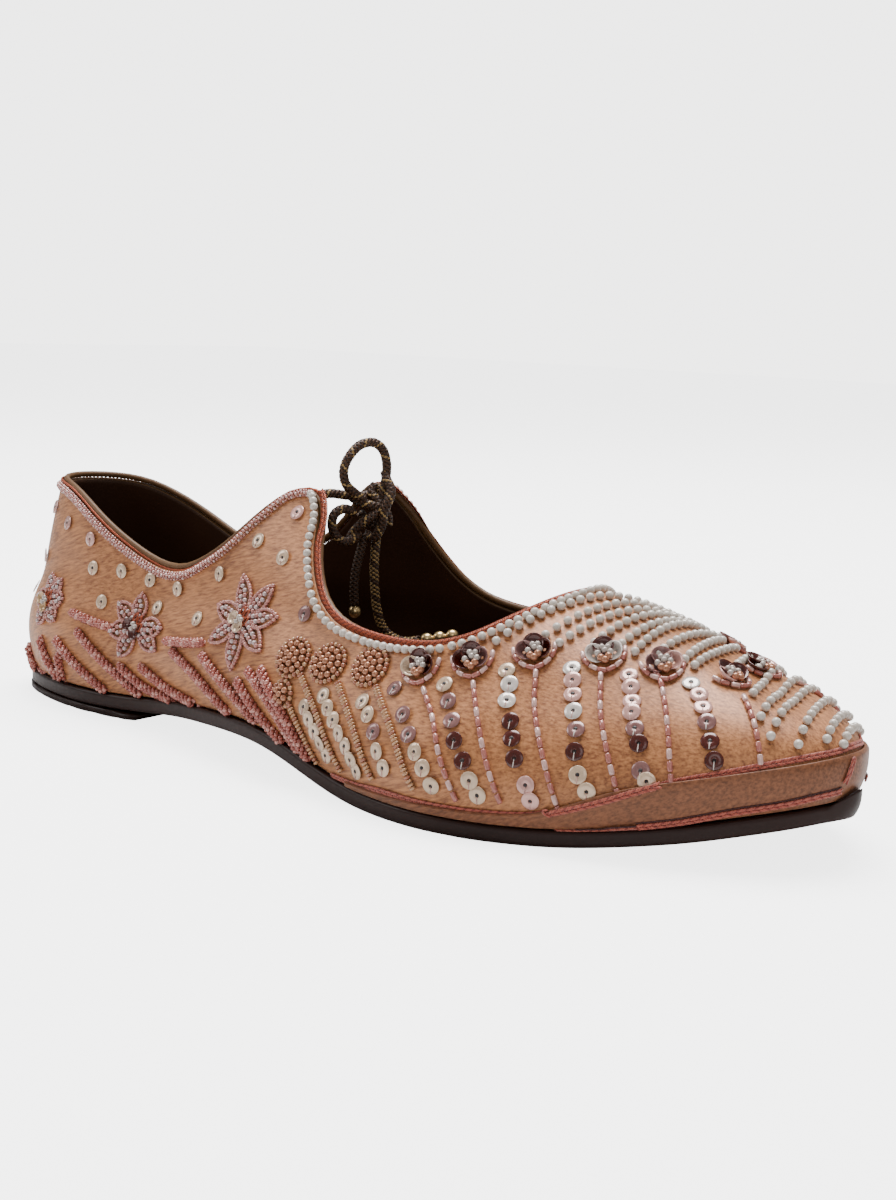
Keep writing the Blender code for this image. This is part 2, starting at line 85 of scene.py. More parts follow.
def ray_through(x, y):
    """The direction from the eye through a place in the photo."""
    return ahead + right * ((x - PHOTO_WIDE / 2) / FOCAL_PIXELS) - up * ((y - PHOTO_TALL / 2) / FOCAL_PIXELS)


# %% [markdown]
# A shoe for sale is lit like this: one wide soft light overhead and a little behind, so that the top
# of the vamp shines, a weaker one from the front, and a pale floor that throws light back up. The
# floor and the studio's walls look nearly white to the camera, but they light the shoe much less.

# %% The floor
FLOOR_SIZE = 6.0               # metres
FLOOR_GREY, FLOOR_ROUGHNESS = 0.7, 0.9

floor_mesh = bpy.data.meshes.new("floor")
made = bmesh.new()
bmesh.ops.create_grid(made, x_segments=1, y_segments=1, size=FLOOR_SIZE / 2)
made.to_mesh(floor_mesh)
made.free()
floor = bpy.data.objects.new("floor", floor_mesh)
bpy.context.scene.collection.objects.link(floor)

floor_look = bpy.data.materials.new("pale floor")
floor_look.use_nodes = True
floor_shader = floor_look.node_tree.nodes["Principled BSDF"]
floor_shader.inputs["Base Color"].default_value = (FLOOR_GREY, FLOOR_GREY, FLOOR_GREY, 1)
floor_shader.inputs["Roughness"].default_value = FLOOR_ROUGHNESS
floor_shader.inputs["Emission Color"].default_value = (1, 1, 1, 1)
floor_mesh.materials.append(floor_look)
print("floor", FLOOR_SIZE, "metres wide")

# %% What the camera sees of the studio, and how much it lights
STUDIO_WHITE = (1.0, 0.995, 0.985, 1)
STUDIO_LIGHT, STUDIO_SEEN, FLOOR_SEEN = 0.38, 4.0, 3.5

world = bpy.data.worlds.new("studio")
bpy.context.scene.world = world
world.use_nodes = True
world.node_tree.nodes["Background"].inputs["Color"].default_value = STUDIO_WHITE


def seen_by_camera(tree, plain, seen, socket):
    """Give a strength socket one value for the camera's own rays and another for light."""
    ray = tree.nodes.new("ShaderNodeLightPath")
    choose = tree.nodes.new("ShaderNodeMapRange")
    tree.links.new(ray.outputs["Is Camera Ray"], choose.inputs["Value"])
    choose.inputs["To Min"].default_value = plain
    choose.inputs["To Max"].default_value = seen
    tree.links.new(choose.outputs[0], socket)


seen_by_camera(world.node_tree, STUDIO_LIGHT, STUDIO_SEEN,
               world.node_tree.nodes["Background"].inputs["Strength"])
seen_by_camera(floor_look.node_tree, 0.0, FLOOR_SEEN, floor_shader.inputs["Emission Strength"])
print("the studio lights with", STUDIO_LIGHT, "and is seen with", STUDIO_SEEN)


# %% The lights
def soft_light(name, place, target, size, power):
    """A square area light that faces a target."""
    lamp = bpy.data.lights.new(name, "AREA")
    lamp.shape = "SQUARE"
    lamp.size = size
    lamp.energy = power
    holder = bpy.data.objects.new(name, lamp)
    holder.location = place
    towards = Vector(target) - Vector(place)
    holder.rotation_euler = towards.to_track_quat("-Z", "Y").to_euler()
    bpy.context.scene.collection.objects.link(holder)


# Each light: its name, its place, what it faces, its size in metres and its power in watts
LIGHTS = [("overhead", (-0.15, 0.25, 1.0), (0.02, 0, 0.02), 0.7, 27),
          ("front", (0.75, -0.7, 0.55), (0.02, 0, 0.03), 0.5, 1.2),
          ("heel_side", (-0.8, -0.5, 0.6), (-0.05, 0, 0.03), 0.4, 3)]
for light in LIGHTS:
    soft_light(*light)
print(len(LIGHTS), "soft lights")

# %% [markdown]
# The finishes share three effects: the satin's weave, the leather's grain and the tint of a bead. Each
# could be wired afresh in every material. A node group is built once instead, and placed in each
# material with its own numbers. It puts out only a colour and a height, and the shader stays in the
# material itself.

# %% Helpers that build node groups
def group_of(name, inputs, outputs):
    """An empty shader group with its sockets: each is (name, kind, default)."""
    tree = bpy.data.node_groups.new(name, "ShaderNodeTree")
    for label, kind, default in inputs:
        socket = tree.interface.new_socket(label, in_out="INPUT", socket_type=f"NodeSocket{kind}")
        socket.default_value = default
    for label, kind in outputs:
        tree.interface.new_socket(label, in_out="OUTPUT", socket_type=f"NodeSocket{kind}")
    return tree, tree.nodes.new("NodeGroupInput"), tree.nodes.new("NodeGroupOutput")


def math_node(tree, operation, first, second):
    """A math node; each input is a socket or a number."""
    node = tree.nodes.new("ShaderNodeMath")
    node.operation = operation
    for socket, value in zip(node.inputs, (first, second)):
        if isinstance(value, (int, float)):
            socket.default_value = value
        else:
            tree.links.new(value, socket)
    return node.outputs[0]


def mix_colours(tree, share, first, second, blend="MIX"):
    """A colour mix; each input is a socket or a plain value."""
    node = tree.nodes.new("ShaderNodeMix")
    node.data_type = "RGBA"
    node.blend_type = blend
    for socket, value in ((node.inputs[0], share), (node.inputs[6], first), (node.inputs[7], second)):
        if isinstance(value, (int, float)):
            socket.default_value = value
        elif isinstance(value, tuple):
            socket.default_value = (*value, 1)
        else:
            tree.links.new(value, socket)
    return node.outputs[2]


print("groups can be built from named sockets, sums and colour mixes")

# %% [markdown]
# Satin is woven with long floating threads, so its colour runs in fine streaks and its surface has
# small slubs. An image of cloth would do it, but a noise that is stretched along the threads has the
# right scale everywhere on the shoe and needs no unwrapping. A second, larger noise makes it patchy.

# %% The satin's weave
THREADS_TILT = (0, math.radians(17), math.radians(9))
STREAK_ROUGHNESS = 0.62
CLOUD_SCALE = 55.0
STREAK_CONTRAST, CLOUD_CONTRAST = 3.4, 0.8
SHADE_SHARE = 0.4              # how much of the darker thread shows on average

weave, weave_in, weave_out = group_of(
    "satin_weave",
    [("Colour", "Color", (0.5, 0.5, 0.5, 1)), ("Shade", "Color", (0.2, 0.2, 0.2, 1)),
     ("Along", "Float", 230.0), ("Across", "Float", 1700.0), ("Streaks", "Float", 0.85)],
    [("Colour", "Color"), ("Height", "Float")])
weave_place = weave.nodes.new("ShaderNodeTexCoord").outputs["Object"]
squeeze = weave.nodes.new("ShaderNodeCombineXYZ")
weave.links.new(weave_in.outputs["Along"], squeeze.inputs["X"])
weave.links.new(weave_in.outputs["Across"], squeeze.inputs["Y"])
weave.links.new(weave_in.outputs["Across"], squeeze.inputs["Z"])
tilt = weave.nodes.new("ShaderNodeMapping")
tilt.inputs["Rotation"].default_value = THREADS_TILT
weave.links.new(weave_place, tilt.inputs["Vector"])
stretched = weave.nodes.new("ShaderNodeVectorMath")
stretched.operation = "MULTIPLY"
weave.links.new(tilt.outputs[0], stretched.inputs[0])
weave.links.new(squeeze.outputs[0], stretched.inputs[1])
streak = weave.nodes.new("ShaderNodeTexNoise")
streak.inputs["Scale"].default_value = 1.0
streak.inputs["Detail"].default_value = 4.0
streak.inputs["Roughness"].default_value = STREAK_ROUGHNESS
weave.links.new(stretched.outputs[0], streak.inputs["Vector"])
cloud = weave.nodes.new("ShaderNodeTexNoise")
cloud.inputs["Scale"].default_value = CLOUD_SCALE
cloud.inputs["Detail"].default_value = 3.0
weave.links.new(weave_place, cloud.inputs["Vector"])
streak_swing = math_node(weave, "SUBTRACT", streak.outputs[0], 0.5)
cloud_swing = math_node(weave, "SUBTRACT", cloud.outputs[0], 0.5)
spread = math_node(weave, "MULTIPLY", streak_swing, STREAK_CONTRAST)
patchy = math_node(weave, "MULTIPLY", cloud_swing, CLOUD_CONTRAST)
share = math_node(weave, "MULTIPLY", math_node(weave, "ADD", spread, patchy), weave_in.outputs["Streaks"])
limited = weave.nodes.new("ShaderNodeClamp")
weave.links.new(math_node(weave, "ADD", share, SHADE_SHARE), limited.inputs[0])
weave.links.new(mix_colours(weave, limited.outputs[0], weave_in.outputs["Colour"],
                            weave_in.outputs["Shade"]), weave_out.inputs["Colour"])
weave.links.new(streak.outputs[0], weave_out.inputs["Height"])
print(weave.name, "has", len(weave.nodes), "nodes")

# %% [markdown]
# Leather is mottled in its colour and has a fine cell-like grain. A noise mixes the two colours, and a
# cell texture, whose distance to the next cell's middle is a small dome, gives the height.

# %% The leather's grain
MOTTLE_SCALE = 45.0

hide, hide_in, hide_out = group_of(
    "leather_grain",
    [("Colour", "Color", (0.1, 0.05, 0.02, 1)), ("Shade", "Color", (0.05, 0.02, 0.01, 1)),
     ("Grain", "Float", 900.0)],
    [("Colour", "Color"), ("Height", "Float")])
hide_place = hide.nodes.new("ShaderNodeTexCoord").outputs["Object"]
mottle = hide.nodes.new("ShaderNodeTexNoise")
mottle.inputs["Scale"].default_value = MOTTLE_SCALE
mottle.inputs["Detail"].default_value = 5.0
hide.links.new(hide_place, mottle.inputs["Vector"])
pores = hide.nodes.new("ShaderNodeTexVoronoi")
hide.links.new(hide_place, pores.inputs["Vector"])
hide.links.new(hide_in.outputs["Grain"], pores.inputs["Scale"])
hide.links.new(mix_colours(hide, mottle.outputs[0], hide_in.outputs["Colour"], hide_in.outputs["Shade"]),
               hide_out.inputs["Colour"])
hide.links.new(pores.outputs["Distance"], hide_out.inputs["Height"])
print(hide.name, "has", len(hide.nodes), "nodes")

# %% [markdown]
# Beads, sequins and threads come in many colours, and each colour could be a material of its own. Here
# a piece's mesh carries the colour of each small thing as an attribute called tint, and one group
# reads it and varies it a little, so that thousands of beads need one material.

# %% The beads' tint
SPECK_SCALE = 900.0

tinted, tinted_in, tinted_out = group_of(
    "bead_tint", [("Depth", "Float", 0.25)], [("Colour", "Color")])
paint = tinted.nodes.new("ShaderNodeAttribute")
paint.attribute_name = "tint"
speck = tinted.nodes.new("ShaderNodeTexNoise")
speck.inputs["Scale"].default_value = SPECK_SCALE
tinted.links.new(tinted.nodes.new("ShaderNodeTexCoord").outputs["Object"], speck.inputs["Vector"])
darker = mix_colours(tinted, tinted_in.outputs["Depth"], (1.0, 1.0, 1.0), speck.outputs[0])
tinted.links.new(mix_colours(tinted, 1.0, paint.outputs["Color"], darker, "MULTIPLY"),
                 tinted_out.inputs["Colour"])
print(tinted.name, "has", len(tinted.nodes), "nodes")

# %% [markdown]
# A finish is one of these groups and the shader's own values. Satin is fairly rough with a weak warm
# sheen, leather is rough, and pearls, glass beads and sequins are smooth under a clear coat. The
# colours were read from the photo and are linear light, from 0 to 1.

# %% A finish from a group
COAT_ROUGHNESS = 0.12


def finish_of(name, roughness, group, values, metallic=0.0, coat=0.0, sheen=0.0, bump=0.0,
              bump_size=0.0, specular=0.5, sheen_tint=(1.0, 1.0, 1.0)):
    """A material whose colour, and bump if it has one, come from one of the groups above."""
    look = bpy.data.materials.new(name)
    look.use_nodes = True
    tree = look.node_tree
    shader = tree.nodes["Principled BSDF"]
    shader.inputs["Roughness"].default_value = roughness
    shader.inputs["Metallic"].default_value = metallic
    shader.inputs["Coat Weight"].default_value = coat
    shader.inputs["Coat Roughness"].default_value = COAT_ROUGHNESS
    shader.inputs["Sheen Weight"].default_value = sheen
    shader.inputs["Specular IOR Level"].default_value = specular
    shader.inputs["Sheen Tint"].default_value = (*sheen_tint, 1)
    effect = tree.nodes.new("ShaderNodeGroup")
    effect.node_tree = group
    for label, value in values.items():
        socket = effect.inputs[label]
        socket.default_value = (*value, 1) if isinstance(value, tuple) else value
    tree.links.new(effect.outputs["Colour"], shader.inputs["Base Color"])
    if bump:
        rough_skin = tree.nodes.new("ShaderNodeBump")
        rough_skin.inputs["Strength"].default_value = bump
        rough_skin.inputs["Distance"].default_value = bump_size
        tree.links.new(effect.outputs["Height"], rough_skin.inputs["Height"])
        tree.links.new(rough_skin.outputs[0], shader.inputs["Normal"])
    return look


print("every clear coat has a roughness of", COAT_ROUGHNESS)

# %% The finishes
SATIN = finish_of("rose_satin", 0.42, sheen=0.08, sheen_tint=(1.0, 0.8, 0.7), group=weave, bump=0.4,
                  bump_size=0.00014, metallic=0.1, specular=0.35,
                  values={"Colour": (0.52, 0.218, 0.086), "Shade": (0.175, 0.060, 0.022)})
# The toe strip is the rose satin with its colours darkened to about half. The darkening is painted shade,
# because the strip faces down, away from the overhead light.
STRIP_SATIN_SHADED = finish_of("strip_satin", 0.42, sheen=0.08, sheen_tint=(1.0, 0.8, 0.7), group=weave,
                        bump=0.3, bump_size=0.0001, metallic=0.1, specular=0.3,
                        values={"Colour": (0.25, 0.095, 0.042), "Shade": (0.10, 0.036, 0.016)})
LINING = finish_of("lining_leather", 0.6, group=hide, bump=0.3, bump_size=0.0001, specular=0.2,
                   values={"Colour": (0.06, 0.022, 0.007), "Shade": (0.022, 0.007, 0.003)})
EDGE_LEATHER = finish_of("edge_leather", 0.5, group=hide, bump=0.25, bump_size=0.0001, specular=0.3,
                         values={"Colour": (0.15, 0.072, 0.024), "Shade": (0.07, 0.03, 0.010)})
SOCK = finish_of("sock_leather", 0.55, group=hide, bump=0.3, bump_size=0.0001, specular=0.2,
                 values={"Colour": (0.05, 0.018, 0.006), "Shade": (0.02, 0.007, 0.003)})
SOLE = finish_of("sole_leather", 0.42, coat=0.05, group=hide, bump=0.35, bump_size=0.00012, specular=0.18,
                 values={"Colour": (0.026, 0.009, 0.006), "Shade": (0.012, 0.004, 0.003), "Grain": 500.0})
COPPER = finish_of("copper_braid", 0.4, metallic=0.4, group=tinted, values={"Depth": 0.35})
THREAD = finish_of("salmon_thread", 0.5, sheen=0.2, group=tinted, values={"Depth": 0.4})
PEARL = finish_of("white_pearl", 0.24, coat=0.4, group=tinted, values={"Depth": 0.12}, sheen=0.05)
GLASS_BEAD = finish_of("seed_bead", 0.18, coat=0.5, metallic=0.15, group=tinted, values={"Depth": 0.3})
GOLD_PEARL = finish_of("gold_pearl", 0.25, coat=0.4, metallic=0.35, group=tinted, values={"Depth": 0.2})
SEQUIN = finish_of("sequin", 0.22, coat=0.5, metallic=0.25, group=tinted, values={"Depth": 0.15})
BRAID = finish_of("tie_braid", 0.5, metallic=0.25, group=tinted, values={"Depth": 0.5})
GOLD = finish_of("gold_bead", 0.26, metallic=0.8, coat=0.2, group=hide, bump=0.1, bump_size=0.00005,
                 values={"Colour": (0.72, 0.52, 0.26), "Shade": (0.5, 0.33, 0.14)})
print("finishes:", len([look for look in bpy.data.materials if look.use_nodes]))

# %% [markdown]
# Each plain solid is dressed: a copy of it takes its place and its look. The solid has the true last,
# but it is made of loose triangles. They are merged and joined back into four-sided faces, and a
# Subdivision Surface modifier smooths what is left of the facets. Modelling the form again would only
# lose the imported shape.

# %% Helpers that dress a solid
MERGE = 2e-6                   # metres within which two corners are one
SAME_FACE, SAME_SHAPE = math.radians(35), math.radians(60)


def merged_copy(node):
    """A bmesh of a solid with its loose triangles merged and joined into larger faces."""
    shell = bmesh.new()
    shell.from_mesh(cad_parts[node].data)
    bmesh.ops.remove_doubles(shell, verts=shell.verts, dist=MERGE)
    bmesh.ops.join_triangles(shell, faces=shell.faces, angle_face_threshold=SAME_FACE,
                             angle_shape_threshold=SAME_SHAPE, cmp_seam=False)
    return shell


def into_piece(name, shell, looks):
    """Turn a bmesh into an object with its materials, riding on the shoe."""
    mesh = bpy.data.meshes.new(name)
    shell.to_mesh(mesh)
    shell.free()
    for look in looks:
        mesh.materials.append(look)
    piece = bpy.data.objects.new(name, mesh)
    bpy.context.scene.collection.objects.link(piece)
    mesh.shade_smooth()
    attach(piece, "root")
    return piece


def smoothed(piece, levels):
    """A Subdivision Surface modifier, the same in the viewport and the render."""
    rounder = piece.modifiers.new("smooth", "SUBSURF")
    rounder.levels = levels
    rounder.render_levels = levels
    return piece


def crease_sharp_edges(shell, degrees, weight):
    """Edges that turn by more than this keep their corner under subdivision."""
    layer = shell.edges.layers.float.get("crease_edge") or shell.edges.layers.float.new("crease_edge")
    for edge in shell.edges:
        if len(edge.link_faces) == 2 and edge.calc_face_angle(0) > math.radians(degrees):
            edge[layer] = weight


print("solids to dress:", len(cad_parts))

# %% [markdown]
# The upper is satin glued over a leather lining, and the leather shows again on the wall's top edge.
# The faces could be chosen by hand. Here a face near the binding is edge, a face that looks towards
# a line inside the shoe is lining, and the rest is satin.

# %% The upper's satin, lining and edge
MIDDLE_Y = 1.3 * MM            # the heel's middle line
CORE_Z = 20 * MM               # a height that is inside the shoe all along it
CORE_REACH = 95 * MM           # how far that line runs towards heel and toe
NEAR_RIM = 0.75 * MM           # the wall's top edge lies this near the binding
UPPER_CORNER, UPPER_KEEP = 55, 0.7

upper_shell = merged_copy("upper")
binding_shell = merged_copy("collar_binding")
BINDING = BVHTree.FromBMesh(binding_shell)
binding_shell.free()
inner_faces = 0
for face in upper_shell.faces:
    centre = face.calc_center_median()
    if BINDING.find_nearest(centre)[3] < NEAR_RIM:
        face.material_index = 2
        continue
    core_x = min(max(centre.x, -CORE_REACH), CORE_REACH)
    from_core = centre - Vector((core_x, MIDDLE_Y, CORE_Z))
    is_lining = face.normal.dot(from_core) < 0
    face.material_index = 1 if is_lining else 0
    inner_faces += is_lining
crease_sharp_edges(upper_shell, UPPER_CORNER, UPPER_KEEP)
print("upper:", len(upper_shell.faces), "faces, of which lining", inner_faces)

# %% [markdown]
# Satin that is pulled over a last has a few soft creases: where the vamp bends, below the ears, at
# the back of the heel and at the toe. A noise would wrinkle the whole shoe alike, so the main ones
# are given one by one: each is a soft trough, or a ridge, between two places on the near side, and the
# other side has the same ones.

# %% Creases in the satin
CREASE_WIDE = 4.5 * MM
# Each crease: where it starts and ends, and its depth in mm (a ridge is below 0)
CREASES = [((0.040, -0.041, 0.014), (0.050, -0.034, 0.030), 0.45),
           ((0.058, -0.040, 0.014), (0.064, -0.031, 0.028), 0.35),
           ((0.049, -0.041, 0.014), (0.057, -0.034, 0.028), -0.30),
           ((-0.012, -0.030, 0.018), (-0.020, -0.027, 0.040), 0.45),
           ((-0.040, -0.029, 0.012), (-0.034, -0.028, 0.030), 0.30),
           ((-0.100, -0.016, 0.040), (-0.088, -0.021, 0.034), 0.35),
           ((0.083, -0.031, 0.016), (0.092, -0.022, 0.024), 0.35),
           ((0.098, -0.020, 0.018), (0.104, -0.011, 0.023), 0.30)]


def crease_depth(spot):
    """How far a place on the satin is pulled in by the creases near it, on either side of the shoe."""
    depth = 0.0
    folded = Vector((spot.x, MIDDLE_Y - abs(spot.y - MIDDLE_Y), spot.z))
    for start, end, deep in CREASES:
        first, second = Vector(start), Vector(end)
        share = (folded - first).dot(second - first) / (second - first).length_squared
        away = (folded - first.lerp(second, min(max(share, 0), 1))).length
        depth += deep * MM * math.exp(-(away / CREASE_WIDE) ** 2)
    return depth


upper_shell.normal_update()
for vertex in upper_shell.verts:
    if all(face.material_index == 0 for face in vertex.link_faces):
        vertex.co -= vertex.normal * crease_depth(vertex.co)
upper_skin = smoothed(into_piece("upper_satin", upper_shell, [SATIN, LINING, EDGE_LEATHER]), 2)
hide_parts("upper")
print("creases:", len(CREASES), "on each side")

# %% [markdown]
# The outsole, the lift under the heel, the leather sock and the satin strip round the toe are dressed
# in the same way. Their hard edges would melt under the smoothing, so edges that turn sharply are
# marked as creases and stay crisp.

# %% Sole, lift, sock and toe strip
HARD_CORNER, HARD_KEEP = 35, 0.85
pieces = {}
for node, look, slot, levels in (("outsole", SOLE, "sole_leather", 2),
                                 ("heel_lift", SOLE, "sole_leather", 1),
                                 ("insole", SOCK, "lining_leather", 1),
                                 ("toe_strip", STRIP_SATIN_SHADED, "strip_satin", 2)):
    shell = merged_copy(node)
    crease_sharp_edges(shell, HARD_CORNER, HARD_KEEP)
    piece = smoothed(into_piece(node + "_skin", shell, [look]), levels)
    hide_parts(node)
    pieces[node] = piece
    print(node, "dressed,", len(piece.data.polygons), "faces")

# %% [markdown]
# The embroidery lies on the satin, so it needs the smoothed surface and not the plain solid. A search
# tree of the finished faces answers two questions at once: where does a ray hit, and what is the
# nearest place? The lining and the strip's inner side are left out, or stitches would sink to them.

# %% The surfaces that carry ornament
FACES_OUT = 0.2                # a strip face counts where it faces out of the satin by this much
shown = upper_skin.evaluated_get(bpy.context.evaluated_depsgraph_get()).to_mesh()
outside = [tuple(face.vertices) for face in shown.polygons if face.material_index == 0]
cloth_corners = [vertex.co.copy() for vertex in shown.vertices]
SKIN = BVHTree.FromPolygons(cloth_corners, outside)
strip_shown = pieces["toe_strip"].evaluated_get(bpy.context.evaluated_depsgraph_get()).to_mesh()
strip_corners = [vertex.co.copy() for vertex in strip_shown.vertices]
strip_faces = [tuple(face.vertices) for face in strip_shown.polygons
               if face.normal.dot(SKIN.find_nearest(face.center)[1]) > FACES_OUT]
STRIP = BVHTree.FromPolygons(strip_corners, strip_faces)
after_cloth = [tuple(corner + len(cloth_corners) for corner in face) for face in strip_faces]
SKIN_AND_STRIP = BVHTree.FromPolygons(cloth_corners + strip_corners, outside + after_cloth)
print("satin faces:", len(outside), "strip faces:", len(strip_faces))

# %% [markdown]
# A stitcher follows a drawn line, and so does this: a few places picked in the photo are dropped onto
# the cloth along the camera's ray, joined by a smooth curve, and divided into even steps. Typing a
# place in space for each bead would be slower and would leave beads in the air.

# %% Places on the cloth
# A ray that misses the shoe tries so many places between these two distances, in metres, from the eye
NEAR_REACH, FAR_REACH, TRIES = 0.28, 0.6, 65


def nearest(spot, surface=SKIN):
    """The place on the cloth nearest a point, and the way out of the cloth there."""
    place, normal, _, _ = surface.find_nearest(Vector(spot))
    return place, normal


def drop(x, y, surface=SKIN):
    """The place on the cloth behind a place in the photo, and the way out of the cloth there."""
    way = ray_through(x, y).normalized()
    place, normal, _, _ = surface.ray_cast(EYE, way)
    if place is None:
        tries = [surface.find_nearest(EYE + way * reach)
                 for reach in np.linspace(NEAR_REACH, FAR_REACH, TRIES)]
        place, normal, _, _ = min(tries, key=lambda found: found[3])
    return place, normal


print("a place can be dropped from the photo, or found nearest to a point")


# %% Lines on the cloth
def smooth_line(points, steps=8):
    """A smooth curve through points, with so many steps between two of them."""
    p = [Vector(point) for point in points]
    p = [p[0] * 2 - p[1]] + p + [p[-1] * 2 - p[-2]]
    line = []
    for a, b, c, d in zip(p[:-3], p[1:-2], p[2:-1], p[3:]):
        for k in range(steps):
            t = k / steps
            line.append(0.5 * (2 * b + (c - a) * t + (2 * a - 5 * b + 4 * c - d) * t ** 2
                               + (3 * b - a - 3 * c + d) * t ** 3))
    line.append(p[-2])
    return line


def evenly(line, step, closed=False):
    """The line again with points about step apart."""
    points = np.array([tuple(point) for point in (list(line) + [line[0]] if closed else line)])
    reach = np.concatenate([[0], np.cumsum(np.linalg.norm(np.diff(points, axis=0), axis=1))])
    count = max(2, int(round(reach[-1] / step)) + 1)
    at = np.linspace(0, reach[-1], count)
    made = [Vector([np.interp(s, reach, points[:, k]) for k in range(3)]) for s in at]
    return made[:-1] if closed else made


def line_on_cloth(corners, step, surface=SKIN):
    """A line through photo places, lying on the cloth: a list of (place, way along, way out)."""
    ends = [drop(x, y, surface)[0] for x, y in corners]
    points = [nearest(point, surface) for point in evenly(smooth_line(ends), step)]
    return with_run(points)


def with_run(points):
    """Add the way along to a list of (place, way out)."""
    line = []
    for k, (place, normal) in enumerate(points):
        run = points[min(k + 1, len(points) - 1)][0] - points[max(k - 1, 0)][0]
        run -= normal * run.dot(normal)
        line.append((place, run.normalized(), normal))
    return line


print("a line through photo places is smooth, even and on the cloth")

# %% [markdown]
# The photo hides the other side of the shoe. Its ornament could be drawn again, but an embroiderer
# mirrors the pattern, so each small thing is one record that can be turned over: its kind, its spot,
# the way along, the way out, its size, its tint and its lift above the cloth. The mirror is the
# shoe's own middle line, which bends with the last.

# %% The other side
from collections import namedtuple

Bit = namedtuple("Bit", "kind spot along out size tint lift")
MIDDLE_Z = 18 * MM             # the height at which the two sides are measured
FROM_SIDE = 0.1                # metres: rays start this far out


def middle_at(x):
    """The shoe's middle line at a place along it, halfway between its two sides."""
    sides = [SKIN.ray_cast(Vector((x, way * FROM_SIDE, MIDDLE_Z)), Vector((0, -way, 0)))[0]
             for way in (-1, 1)]
    return sum(side.y for side in sides) / 2 if all(sides) else MIDDLE_Y


MIDDLE_XS = np.linspace(-0.115, 0.108, 40)  # from the heel to where the toe turns in
MIDDLE_YS = [middle_at(x) for x in MIDDLE_XS]


def other_side(bits, surface=SKIN):
    """The same ornament on the other side, as high above the cloth as before."""
    turned = []
    for bit in bits:
        foot, up_there = nearest(bit.spot, surface)
        height = (bit.spot - foot).dot(up_there)
        middle = np.interp(bit.spot.x, MIDDLE_XS, MIDDLE_YS)
        place, normal = nearest((bit.spot.x, 2 * middle - bit.spot.y, bit.spot.z), surface)
        run = Vector((bit.along.x, -bit.along.y, bit.along.z))
        run -= normal * run.dot(normal)
        turned.append(bit._replace(spot=place + normal * height, along=run.normalized(), out=normal))
    return turned


print("middle line from", round(min(MIDDLE_YS) / MM, 1), "to", round(max(MIDDLE_YS) / MM, 1), "mm")

# %% [markdown]
# Thousands of beads can't each be an object. Each kind is modelled once, with a few dozen faces, and
# its corners are copied by arrays into one joined mesh. A kind is about two units across, so that a
# size is a radius. Round kinds start from a sphere, a bugle bead from a cylinder, and a sequin, a
# cupped sequin and a ring from a profile that is spun round.

# %% Helpers that store a kind
KINDS = {}


def keep_kind(name, shape):
    """Store a small shape as arrays of corners and triangles."""
    bmesh.ops.triangulate(shape, faces=shape.faces)
    shape.verts.ensure_lookup_table()
    corners = np.array([tuple(vertex.co) for vertex in shape.verts])
    faces = np.array([[vertex.index for vertex in face.verts] for face in shape.faces])
    shape.free()
    KINDS[name] = (corners, faces)


def turned_shape(profile, segments):
    """A closed profile of (radius, height) turned round Z."""
    shape = bmesh.new()
    ring = [shape.verts.new((radius, 0, height)) for radius, height in profile]
    for first, second in zip(ring, ring[1:] + ring[:1]):
        shape.edges.new((first, second))
    bmesh.ops.spin(shape, geom=shape.verts[:] + shape.edges[:], cent=(0, 0, 0), axis=(0, 0, 1),
                   angle=math.tau, steps=segments, use_merge=True)
    bmesh.ops.recalc_face_normals(shape, faces=shape.faces)
    return shape


print("a kind is kept as corners and triangles")

# %% The kinds of bead, sequin and stitch
BUGLE_EDGE = 0.25              # the bevel at a bugle bead's ends, as a share of its radius
pearl = bmesh.new()
bmesh.ops.create_icosphere(pearl, subdivisions=2, radius=1)
keep_kind("pearl", pearl)
seed = bmesh.new()
bmesh.ops.create_uvsphere(seed, u_segments=8, v_segments=5, radius=1)
keep_kind("seed", seed)
bugle = bmesh.new()
bmesh.ops.create_cone(bugle, cap_ends=True, segments=8, radius1=1, radius2=1, depth=2)
bmesh.ops.bevel(bugle, geom=[e for e in bugle.edges if abs(e.verts[0].co.z - e.verts[1].co.z) < 0.1],
                offset=BUGLE_EDGE, affect="EDGES", segments=1, profile=0.5, material=-1)
bmesh.ops.rotate(bugle, cent=(0, 0, 0), matrix=Matrix.Rotation(math.pi / 2, 3, "Y"), verts=bugle.verts)
keep_kind("bugle", bugle)
stitch = bmesh.new()
bmesh.ops.create_uvsphere(stitch, u_segments=6, v_segments=4, radius=1)
bmesh.ops.rotate(stitch, cent=(0, 0, 0), matrix=Matrix.Rotation(math.pi / 2, 3, "Y"), verts=stitch.verts)
keep_kind("stitch", stitch)
keep_kind("sequin", turned_shape([(0.2, 0.04), (0.26, 0.1), (0.95, 0.02), (1.0, -0.03), (0.95, -0.06),
                                  (0.24, -0.03)], 18))
keep_kind("cup", turned_shape([(0.16, -0.18), (0.5, -0.1), (0.82, 0.12), (1.0, 0.42), (0.94, 0.45),
                               (0.74, 0.18), (0.45, -0.02), (0.16, -0.1)], 16))
keep_kind("ring", turned_shape([(1 + 0.3 * math.cos(turn), 0.3 * math.sin(turn))
                                for turn in np.linspace(0, math.tau, 6, endpoint=False)], 14))
print({name: len(faces) for name, (_, faces) in KINDS.items()})

# %% [markdown]
# A bead's colour is read from the photo as levels from 0 to 255 and turned into linear light, a
# little deeper, because the studio's light washes it out again. The tint goes on each corner of the
# joined mesh, where the finish reads it.

# %% Copy a kind to many places
DEEPEN, DARKEN = 2.75, 0.86


def colour_of(red, green, blue):
    """A colour read from the photo, 0 to 255, as linear light and a little deeper."""
    return tuple((level / 255) ** DEEPEN * DARKEN for level in (red, green, blue))


